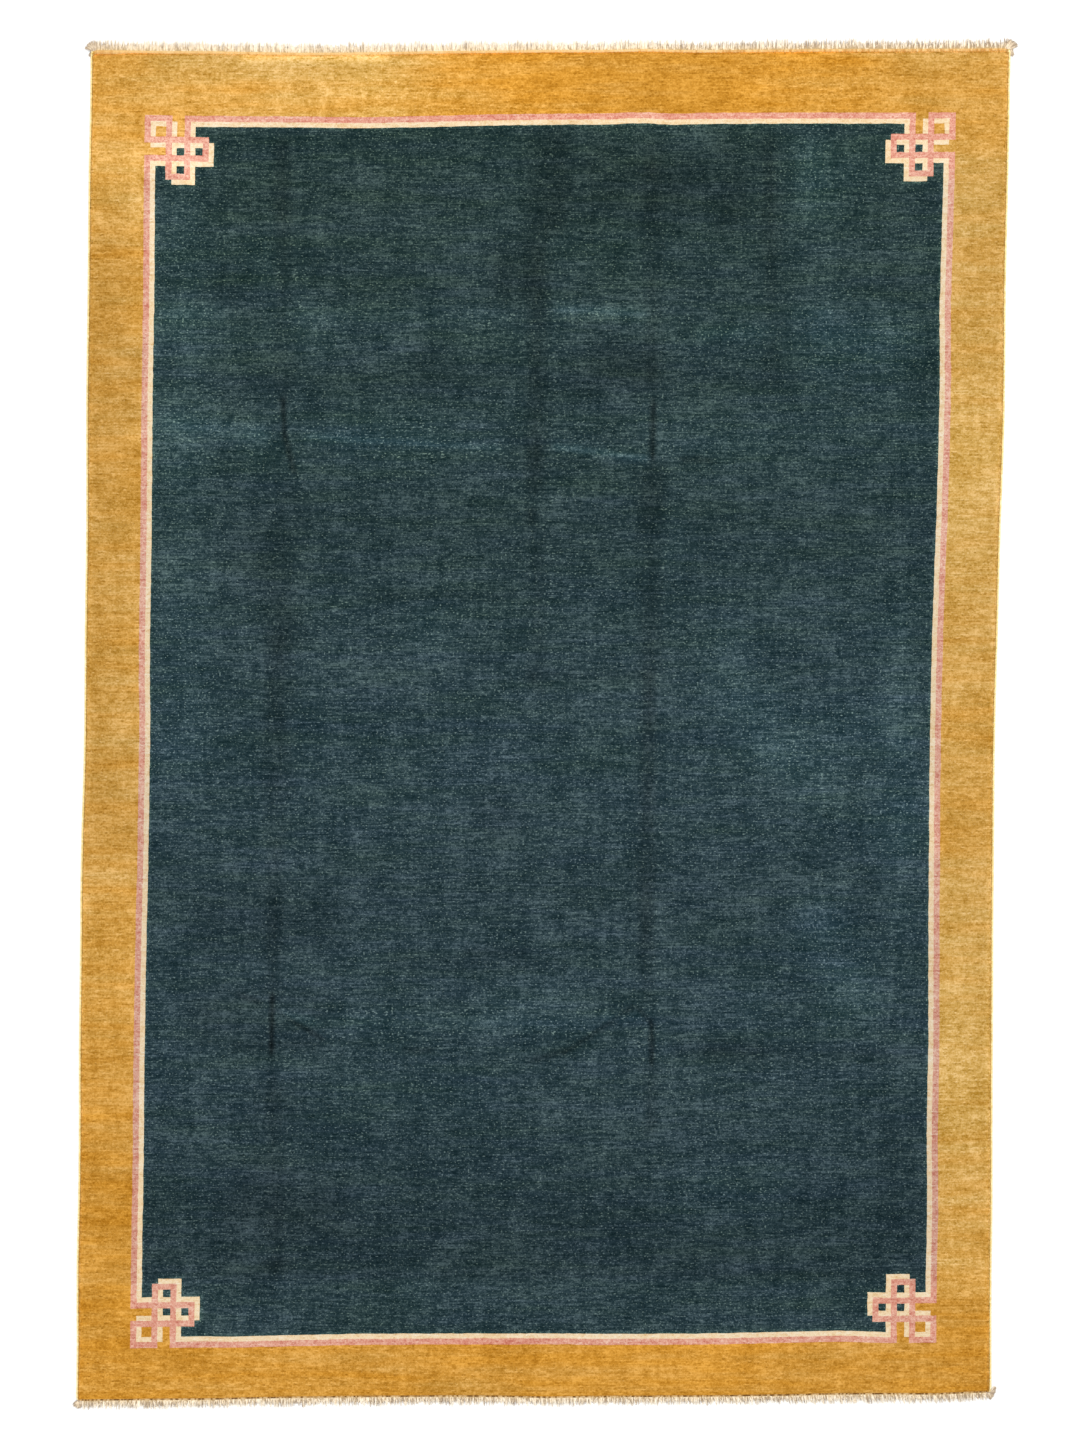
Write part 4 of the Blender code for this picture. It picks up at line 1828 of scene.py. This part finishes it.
    def tail_paths(self, tail: Tail, rng: np.random.Generator) -> tuple[Array, ...]:
        """Lay the strands of one corner tail.

        Args:
            tail: the tail.
            rng: source of the small differences.

        Returns:
            Middle lines, radii, tones and stains of the strands.
        """
        end = self.plan.end
        x, y = self.loom.lay(float(tail.side), float(end))
        count, rings = tail.strands, len(self.tail_radii)
        fan = rng.uniform(0.0, 1.0, count)
        spread = rng.normal(0.0, self.tail_scatter, count)
        heading = np.radians(tail.first + (tail.last - tail.first) * fan**1.2 + spread)
        long = tail.length * rng.uniform(*self.tail_range, count)
        long = long * (1.0 - self.tail_side_short * np.cos(heading) ** 2)
        root_x = float(x) + tail.side * (fan * (tail.inner + tail.outer) - tail.inner)
        root_y = float(y) + end * rng.uniform(0.6, 3.4, count) * MM
        step = long[:, None] / (rings - 1) * np.ones(rings)
        step[:, 0] = 0.0
        turn = heading[:, None]
        px = root_x[:, None] + tail.side * np.cumsum(step * np.cos(turn), 1)
        py = root_y[:, None] + end * np.cumsum(step * np.sin(turn), 1)
        layer = rng.uniform(0.0, 1.0, (count, 1))
        pz = np.array(self.tail_heights) * MM + layer * np.array(self.tail_layers) * MM
        radii = np.array(self.tail_radii) * MM * np.ones((count, 1))
        tone = rng.normal(self.tail_tone, self.tail_tone_spread, (count, 1))
        # Painted shade on the lower tail strands.
        tones = tone - self.tail_lower_painted_shade * (1.0 - layer) + np.zeros(rings)
        return np.stack([px, py, pz], 2), radii, tones, np.zeros(tones.shape)

    def fringe(self, look: bpy.types.Material) -> bpy.types.Object:
        """Make the fringe and its corner tails.

        Args:
            look: finish of the warp yarn.

        Returns:
            The fringe as one piece.
        """
        rng = np.random.default_rng(Seed.FRINGE + self.plan.end)
        runs = [self.lock_paths(rng)] + [self.tail_paths(tail, rng) for tail in self.plan.tails]
        shell = Shell()
        strands(shell, *(np.concatenate(part) for part in zip(*runs)), 4)
        return shell.build(f"warp_fringe_{self.word}", [look], angle=60.0)


# ---------------------------------------------------------------------------------------
# Studio
# ---------------------------------------------------------------------------------------


@dataclass
class Studio:
    """Pale floor, soft lights and the camera straight above the rug."""

    seen_height: float = 3.148
    camera_height: float = 7.5
    centre: tuple[float, float] = (-8.4 * MM, 8.0 * MM)
    sensor: float = 24.0
    floor_size: float = 40.0
    floor_drop: float = 0.2 * MM
    world_strength: float = 0.85
    lamps: tuple[tuple[str, tuple[float, float, float], float, float], ...] = (
        ("key_softbox", (0.6, 4.6, 5.2), 3.2, 210.0),
        ("fill_softbox", (-2.8, -4.4, 5.6), 3.6, 150.0),
        ("side_softbox", (5.0, -0.6, 5.4), 3.4, 90.0),
    )

    def floor(self) -> None:
        """Lay the floor just under the rug."""
        bpy.ops.object.select_all(action="DESELECT")
        bpy.ops.mesh.primitive_plane_add(size=1.0)
        ground = bpy.context.object
        ground.name = "floor"
        for corner in ground.data.vertices:
            corner.co = corner.co * self.floor_size
            corner.co.z = -self.floor_drop
        ground.data.materials.append(PaleFloor().material())
        ground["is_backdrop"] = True

    def lights(self) -> None:
        """Hang the softboxes and set the even light of the room."""
        world = bpy.context.scene.world or bpy.data.worlds.new("room")
        bpy.context.scene.world = world
        world.use_nodes = True
        shade = world.node_tree.nodes["Background"]
        shade.inputs["Color"].default_value = (1.0, 1.0, 1.0, 1.0)
        shade.inputs["Strength"].default_value = self.world_strength
        for name, place, size, power in self.lamps:
            lamp = bpy.data.lights.new(name, "AREA")
            lamp.shape = "DISK"
            lamp.size = size
            lamp.energy = power
            holder = bpy.data.objects.new(name, lamp)
            holder.location = place
            holder.rotation_euler = Vector(place).to_track_quat("Z", "Y").to_euler()
            bpy.context.collection.objects.link(holder)

    def camera(self) -> None:
        """Set the camera straight above the rug."""
        lens = bpy.data.cameras.new("overhead")
        lens.sensor_fit = "VERTICAL"
        lens.sensor_height = self.sensor
        lens.lens = self.sensor * self.camera_height / self.seen_height
        holder = bpy.data.objects.new("overhead", lens)
        holder.location = (*self.centre, self.camera_height)
        bpy.context.collection.objects.link(holder)
        bpy.context.scene.camera = holder
        bpy.context.scene.view_settings.view_transform = "Standard"

    def build(self) -> None:
        """Set up the whole studio."""
        self.floor()
        self.lights()
        self.camera()


GOLD_WOOL = PileWool(
    "gold pile wool",
    deep=dye(163, 113, 31), base=dye(197, 147, 67), pale=dye(228, 179, 104),
    fleck=dye(240, 200, 134), flecks=0.25,
    weights=(0.74, 0.62, 0.46, 0.36, 0.20, 0.36, 0.46, 0.34),
    warm=(1.0, 0.85, 0.45), cool=(1.0, 1.15, 1.55),
    runs=(
        DyeRun((-1.2, -1.26, -0.8, 1.25), 1, (
            (-1.30, 1.00, -0.38), (-0.85, 1.02, -0.30), (-0.60, 1.11, 0.00), (-0.45, 1.10, 0.06),
            (-0.20, 0.95, 0.00), (0.00, 0.99, 0.16), (0.20, 0.98, 0.06), (0.40, 1.00, 0.08),
            (0.80, 0.95, 0.03), (1.05, 1.00, 0.00), (1.28, 1.27, 0.12))),
        DyeRun((0.8, -1.26, 1.2, 1.25), 1, (
            (-1.25, 1.13, 0.02), (-1.00, 1.08, 0.22), (-0.80, 1.12, 0.50), (-0.60, 1.08, 0.41),
            (-0.40, 1.03, 0.30), (-0.20, 1.02, 0.05), (0.00, 1.04, 0.15), (0.20, 1.00, 0.30),
            (0.40, 1.04, 0.36), (0.60, 1.11, 0.49), (0.80, 1.01, 0.31), (1.00, 0.98, 0.26),
            (1.25, 1.03, 0.30))),
        DyeRun((-1.2, 1.25, 1.2, 1.6), 0, (
            (-0.83, 1.15, -0.10), (-0.68, 1.21, 0.03), (-0.53, 1.22, 0.12), (-0.38, 1.32, 0.22),
            (-0.22, 1.29, -0.18), (-0.07, 1.22, -0.50), (0.08, 1.12, -0.48), (0.23, 1.00, -0.50),
            (0.38, 1.04, -0.50), (0.53, 1.24, -0.34), (0.68, 1.17, -0.25), (0.83, 1.06, -0.06))),
        DyeRun((-0.86, 1.425, -0.24, 1.6), 0, (
            (-0.85, 1.10, 0.40), (-0.70, 1.03, 0.95), (-0.40, 1.03, 0.95), (-0.25, 1.20, 0.10))),
        DyeRun((-1.2, -1.6, 1.2, -1.26), 0, (
            (-0.75, 1.09, -0.36), (-0.45, 1.08, -0.29), (-0.15, 1.08, -0.30), (0.15, 1.05, -0.44),
            (0.45, 1.08, -0.35), (0.80, 1.03, -0.30))),
    ),
)
TEAL_WOOL = PileWool(
    "teal pile wool",
    deep=dye(14, 34, 38), base=dye(37, 56, 60), pale=dye(79, 98, 100),
    fleck=dye(124, 146, 140), flecks=0.65,
    weights=(0.60, 0.62, 0.56, 0.20, 0.20, 0.28, 0.32, 0.52),
    warm=(0.97, 1.02, 0.81), cool=(1.03, 0.99, 1.19),
    runs=(
        DyeRun((-1.2, -1.6, 1.2, 1.6), 1, (
            (-1.28, 0.98, 0.08), (-1.222, 0.98, 0.10), (-1.205, 0.79, 0.15), (-1.10, 0.82, 0.15),
            (-1.00, 0.90, 0.16), (-0.81, 1.00, 0.15), (-0.67, 1.05, 0.15), (-0.52, 1.02, 0.17),
            (-0.37, 0.94, 0.17), (-0.22, 1.06, 0.16), (-0.07, 1.10, 0.13), (0.05, 1.05, 0.13),
            (0.15, 1.02, 0.11), (0.25, 1.03, 0.04), (0.35, 0.94, 0.02), (0.45, 0.89, -0.02),
            (0.55, 0.98, -0.05), (0.65, 1.08, -0.04), (0.75, 0.86, -0.06), (0.85, 1.03, -0.09),
            (0.95, 0.88, -0.13), (1.05, 0.92, -0.18), (1.15, 0.86, -0.20), (1.24, 0.91, -0.25),
            (1.35, 0.95, -0.30))),
    ),
)
ROSE_WOOL = PileWool(
    "rose pile wool",
    deep=dye(196, 114, 96), base=dye(222, 157, 135), pale=dye(240, 192, 170),
    fleck=dye(200, 104, 86), flecks=0.5,
    weights=(0.62, 0.78, 0.62, 0.36, 0.10, 0.20, 0.20, 0.30),
    warm=(1.0, 0.88, 0.84), cool=(1.0, 1.16, 1.20),
    runs=(
        DyeRun((-1.2, -1.22, -0.8, 1.20), 1, (
            (-1.2, 0.86, 0.1), (-0.8, 0.84, 0.3), (0.4, 0.84, 0.42), (0.8, 0.82, 0.3),
            (1.1, 0.86, 0.1))),
        DyeRun((0.8, -1.22, 1.2, 1.20), 1, (
            (-1.2, 0.82, 0.4), (-0.1, 0.84, 0.45), (0.4, 0.95, 0.5), (1.1, 0.93, 0.5))),
        DyeRun((-1.2, 1.20, 1.2, 1.6), 0, ((-1.0, 1.05, 0.05), (1.0, 1.05, -0.05))),
        DyeRun((-1.2, -1.6, 1.2, -1.22), 0, ((-1.0, 0.97, 0.05), (1.0, 0.97, 0.05))),
    ),
)
CREAM_WOOL = PileWool(
    "cream pile wool",
    deep=dye(226, 188, 134), base=dye(246, 221, 181), pale=dye(254, 240, 212),
    fleck=dye(255, 246, 222), flecks=0.2,
    weights=(0.56, 0.60, 0.50, 0.30, 0.10, 0.20, 0.15, 0.2),
    warm=(1.0, 0.95, 0.86), cool=(1.0, 1.03, 1.12),
    runs=(
        DyeRun((-1.2, -1.22, -0.8, 1.20), 1, (
            (-1.2, 0.90, -0.1), (-0.8, 0.86, 0.0), (-0.2, 0.76, 0.1), (0.9, 0.76, 0.0),
            (1.1, 0.80, 0.0))),
        DyeRun((0.8, -1.22, 1.2, 1.20), 1, (
            (-1.2, 0.82, 0.0), (-0.2, 0.74, 0.1), (0.4, 0.83, 0.1), (1.1, 0.83, 0.1))),
        DyeRun((-1.2, 1.20, 1.2, 1.6), 0, ((-1.0, 0.95, 0.0), (1.0, 0.95, -0.1))),
        DyeRun((-1.2, -1.6, 1.2, -1.22), 0, ((-1.0, 0.90, -0.1), (1.0, 0.90, 0.0))),
    ),
)
WOOLS = {
    Yarn.GOLD: GOLD_WOOL, Yarn.TEAL: TEAL_WOOL, Yarn.ROSE: ROSE_WOOL, Yarn.CREAM: CREAM_WOOL,
}
BACKS = {
    Yarn.GOLD: KnotBack("gold knot backs", dye(196, 144, 66)),
    Yarn.TEAL: KnotBack("teal knot backs", dye(50, 68, 71)),
    Yarn.ROSE: KnotBack("rose knot backs", dye(214, 152, 126)),
    Yarn.CREAM: KnotBack("cream knot backs", dye(236, 214, 172)),
}
OVERCAST_YARN = SpunYarn(
    "gold overcast yarn", deep=(0.58, 0.44, 0.13), base=(0.80, 0.62, 0.25),
    pale=(0.92, 0.80, 0.50), lay=(420.0, 900.0, 420.0),
)
STRIP_YARNS = {
    End.TOP: SpunYarn(
        "pale end strip yarn", deep=dye(214, 158, 86), base=dye(247, 203, 134),
        pale=dye(252, 222, 166), lay=(300.0, 900.0, 300.0),
    ),
    # The bottom strip is brown partly from its weft and partly as painted shadow under the
    # overhanging pile.
    End.BOTTOM: SpunYarn(
        "brown end strip yarn", deep=dye(128, 90, 46), base=dye(200, 158, 98),
        pale=dye(232, 198, 144), lay=(300.0, 900.0, 300.0),
    ),
}
WARP_YARN = SpunYarn(
    "undyed warp yarn", deep=(0.36, 0.27, 0.19), base=(0.79, 0.65, 0.46),
    pale=(0.92, 0.83, 0.68), lay=(900.0, 160.0, 900.0),
)

# Strokes of painted shade and painted highlight along the folds, standing in for the light
# on their ridges and the shadow of the parted pile, and strokes over dye bands and worn
# places: start, end, half breadth, lighter or darker.
FOLD_LIGHT_AND_DYE_STROKES = strokes(
    # left long fold, from the top end down
    (-0.570, 1.285, -0.566, 0.70, 0.036, -0.15),
    (-0.572, 1.280, -0.572, 1.10, 0.028, -0.16),
    (-0.560, 0.52, -0.578, 0.20, 0.085, -0.11),
    (-0.580, 0.20, -0.584, -0.16, 0.054, -0.27),
    (-0.584, -0.16, -0.592, -0.60, 0.036, -0.16),
    (-0.592, -0.74, -0.584, -1.20, 0.028, -0.12),
    (-0.620, -1.18, -0.550, -1.18, 0.028, -0.20),
    # middle long fold
    (-0.012, 1.30, -0.012, 1.05, 0.062, -0.20),
    (0.032, 1.30, 0.026, 1.07, 0.046, -0.26),
    (-0.012, 1.05, -0.015, 0.80, 0.042, -0.28),
    (-0.015, 0.80, -0.020, 0.50, 0.036, -0.28),
    (-0.040, 0.456, -0.014, 0.456, 0.030, -0.42),
    (-0.015, 0.43, -0.012, 0.06, 0.034, -0.14),
    (-0.040, 0.11, -0.012, 0.10, 0.026, -0.26),
    # right long fold
    (0.236, 1.28, 0.236, 0.74, 0.034, -0.15),
    (0.237, 0.57, 0.238, 0.38, 0.048, -0.36),
    (0.238, 0.38, 0.230, 0.05, 0.038, -0.28),
    (0.230, 0.05, 0.222, -0.52, 0.036, -0.30),
    (0.222, -0.52, 0.230, -0.61, 0.028, -0.16),
    (0.235, -0.74, 0.233, -0.90, 0.026, -0.22),
    # short right fold, and the pile beside it
    (0.41, 1.29, 0.41, 1.06, 0.110, -0.22),
    (0.490, 1.29, 0.497, 1.00, 0.036, -0.26),
    (0.497, 1.00, 0.497, 0.74, 0.028, -0.16),
    (0.580, 1.29, 0.580, 1.10, 0.070, 0.30),
    (0.600, 1.20, 0.600, 0.72, 0.090, 0.10),
    # upper cross fold
    (-0.84, 0.660, -0.60, 0.630, 0.034, 0.36),
    (-0.53, 0.632, -0.08, 0.604, 0.030, 0.26),
    (0.02, 0.606, 0.225, 0.578, 0.026, 0.30),
    (0.26, 0.600, 0.50, 0.610, 0.040, 0.12),
    # short upper fold
    (-0.84, 0.895, -0.70, 0.895, 0.036, 0.26),
    (-0.56, 0.893, -0.08, 0.893, 0.030, 0.18),
    (0.02, 0.905, 0.230, 0.892, 0.030, 0.36),
    (0.335, 0.850, 0.50, 0.855, 0.030, 0.30),
    (0.535, 0.895, 0.63, 0.895, 0.030, 0.22),
    # lower cross fold
    (-0.48, -0.650, 0.12, -0.655, 0.034, 0.18),
    (-0.680, -0.705, -0.480, -0.700, 0.022, -0.16),
    (-0.180, -0.498, -0.030, -0.500, 0.022, -0.20),
    (0.350, -0.715, 0.830, -0.725, 0.040, -0.15),
    # top edge made lighter at the left
    (-0.66, 1.462, -0.34, 1.462, 0.030, 0.35),
    # dye bands and worn places
    (-0.40, 0.280, -0.05, 0.280, 0.018, -0.16),
    (0.00, 0.106, 0.24, 0.106, 0.022, -0.14),
    (-0.35, -0.52, 0.05, -0.53, 0.040, -0.12),
    (-0.80, 1.26, -0.80, -0.10, 0.135, 0.20),
    (-0.80, 1.16, -0.80, 0.55, 0.130, 0.12),
    (-0.66, 1.06, -0.46, 0.80, 0.100, 0.12),
    (-0.66, 0.64, -0.60, 0.58, 0.080, 0.14),
    (0.06, 1.20, 0.34, 1.18, 0.150, -0.30),
    (-0.08, 1.06, -0.06, 0.92, 0.100, -0.25),
    (0.56, 1.22, 0.70, 1.18, 0.130, 0.26),
    (0.58, 0.82, 0.80, 0.80, 0.150, 0.42),
    (0.06, 0.80, 0.26, 0.78, 0.140, -0.26),
    (-0.46, 0.62, -0.24, 0.62, 0.110, 0.16),
    (-0.12, 0.60, 0.20, 0.62, 0.120, -0.12),
    (-0.66, 0.42, -0.54, 0.16, 0.100, -0.13),
    (-0.30, 0.20, -0.20, 0.20, 0.120, 0.15),
    (0.22, 0.42, 0.30, 0.38, 0.100, 0.22),
    (0.38, 0.22, 0.46, 0.00, 0.120, 0.18),
    (0.45, -0.02, 0.80, -0.02, 0.150, 0.20),
    (0.32, 0.10, 0.80, -0.30, 0.120, 0.10),
    (0.44, -0.02, 0.62, -0.16, 0.100, 0.10),
    (0.76, 0.24, 0.80, -0.28, 0.090, 0.14),
    (0.78, -0.14, 0.79, -0.46, 0.100, 0.18),
    (-0.14, -0.16, -0.06, -0.24, 0.110, -0.16),
    (-0.78, -0.44, -0.44, -0.44, 0.140, -0.14),
    (-0.78, -0.64, -0.46, -0.64, 0.140, -0.19),
    (-0.64, -0.82, -0.54, -0.84, 0.120, -0.16),
    (0.58, -0.38, 0.70, -0.64, 0.140, 0.30),
    (-0.14, -0.62, 0.10, -0.60, 0.110, 0.12),
    (-0.70, -1.06, -0.42, -1.06, 0.130, -0.20),
    (-0.70, -1.22, -0.58, -1.22, 0.080, -0.12),
    (-0.32, -1.22, -0.24, -1.22, 0.080, 0.14),
    (-0.46, -0.80, -0.10, -0.82, 0.090, 0.10),
    (0.42, -0.62, 0.48, -0.60, 0.080, 0.12),
    (-0.62, -0.96, -0.58, -1.04, 0.120, -0.12),
    (-0.30, 0.80, -0.20, 0.80, 0.120, -0.12),
    (0.26, -1.02, 0.54, -1.02, 0.140, 0.20),
    (0.76, -0.80, 0.80, -1.12, 0.120, -0.09),
    (0.28, -0.71, 0.48, -0.71, 0.045, -0.14),
)
# Narrow strokes of painted shade and painted highlight where two folds cross and the pile is pinched
# apart.
PAINTED_PINCH_LIGHT = strokes(
    (-0.5690, 0.712, -0.5660, 0.625, 0.013, -0.55),
    (-0.5655, 0.630, -0.5440, 0.545, 0.013, -0.50),
    (0.2390, 0.706, 0.2370, 0.575, 0.014, -0.58),
    (0.2950, 0.578, 0.3700, 0.574, 0.015, -0.34),
    (-0.5920, -0.590, -0.5945, -0.725, 0.012, -0.55),
    (-0.5780, -0.632, -0.4900, -0.655, 0.018, 0.44),
    (-0.5820, -0.628, -0.4800, -0.690, 0.010, -0.36),
    (-0.6700, -0.590, -0.6200, -0.608, 0.012, -0.30),
    (0.2350, -0.650, 0.2360, -0.745, 0.012, -0.55),
    (0.1250, -0.640, 0.2120, -0.642, 0.016, 0.34),
    (0.0400, -0.722, 0.1960, -0.618, 0.012, -0.36),
    (0.2030, -0.618, 0.2360, -0.655, 0.010, -0.34),
    (-0.3050, -0.712, -0.2400, -0.714, 0.014, -0.30),
    (-0.0300, -0.738, 0.0500, -0.712, 0.016, -0.34),
    (-0.5200, 0.626, -0.1000, 0.601, 0.011, 0.34),
    (0.0200, 0.605, 0.2280, 0.578, 0.012, 0.50),
    (0.0300, 0.905, 0.2250, 0.896, 0.011, 0.26),
)

ENDS = (
    EndPlan(
        end=End.TOP, length=20.2 * MM, lap=9.6, patchy=0.3,
        leans=((-1.0, -0.5), (-0.4, 0.3), (0.2, 0.0), (0.6, 0.8), (1.0, 0.5)),
        unevenness=((-1.0, 0.24), (-0.3, 0.28), (0.2, 0.36), (0.5, 0.54), (1.0, 0.56)),
        shades=(
            (-1.0, -0.16, 0.45, -0.20), (-0.9, -0.10, 0.50, 0.00), (-0.4, -0.10, 0.44, 0.04),
            (0.2, -0.10, 0.42, 0.07), (0.5, -0.46, 0.54, -0.14), (0.9, -0.46, 0.55, -0.18),
            (1.0, -0.46, 0.50, -0.26)),
        tails=(
            Tail(-1, 23.0 * MM, 80.0, 20.0, 6.0 * MM, 4.5 * MM, 230),
            Tail(-1, 16.0 * MM, -78.0, -92.0, -4.5 * MM, 6.0 * MM, 26),
            Tail(1, 24.0 * MM, 68.0, 30.0, 6.0 * MM, 6.5 * MM, 230),
            Tail(1, 16.0 * MM, -66.0, -100.0, -6.5 * MM, 12.0 * MM, 110)),
    ),
    EndPlan(
        end=End.BOTTOM, length=17.0 * MM, lap=6.0, patchy=0.8,
        leans=((-1.0, 0.0), (-0.3, 0.6), (0.3, 1.0), (0.45, 3.5), (0.9, 4.0), (1.0, 2.0)),
        unevenness=((-1.0, 0.50), (1.0, 0.54)),
        shades=(
            (-1.0, 0.06, 0.44, -0.14), (-0.93, 0.10, 0.44, 0.0), (0.9, 0.10, 0.46, 0.0),
            (1.0, 0.06, 0.46, -0.14)),
        tails=(
            Tail(-1, 18.0 * MM, 78.0, 40.0, 5.0 * MM, 3.5 * MM, 200),
            Tail(1, 20.0 * MM, 62.0, -46.0, 5.0 * MM, 5.5 * MM, 260)),
    ),
)


def place_piece(piece: bpy.types.Object, node: str) -> None:
    """Let a piece ride on the rug and stand for a CAD node, whose part it hides.

    Args:
        piece: the piece.
        node: the CAD node that it stands for.
    """
    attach(piece, "root")
    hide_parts(node)


def main() -> None:
    """Build the rug and its studio."""
    logging.basicConfig(level=logging.INFO, format="%(message)s")
    loom = Loom()
    chart = Chart(loom)
    ground = WovenGround(chart).build({yarn: back.material() for yarn, back in BACKS.items()})
    place_piece(ground, "carpet")
    wools = {yarn: wool.material(PAINTED_PINCH_LIGHT if yarn is Yarn.TEAL else ())
             for yarn, wool in WOOLS.items()}
    pile = KnottedPile(chart, FOLD_LIGHT_AND_DYE_STROKES, WOOLS).build(wools)
    pile.append(RimTufts(loom, GOLD_WOOL).build(wools[Yarn.GOLD]))
    for piece in pile:
        place_piece(piece, "carpet")
    overcast = OVERCAST_YARN.material()
    for side, node in ((-1, "selvedge_left"), (1, "selvedge_right")):
        cord = OvercastEdge(loom, side).build(overcast)
        place_piece(cord, node)
    warp_yarn = WARP_YARN.material()
    for plan in ENDS:
        finish = EndFinish(loom, plan)
        strip_yarn = STRIP_YARNS[plan.end].material()
        for piece in (finish.strip(strip_yarn), finish.fringe(warp_yarn)):
            place_piece(piece, f"fringe_{finish.word}")
    Studio().build()


if __name__ == "__main__":
    main()
    boxes = {"cad": CAD_BOX, "visual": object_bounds()}
    ({key: [[float(n) for n in corner] for corner in box]
               for key, box in boxes.items()})
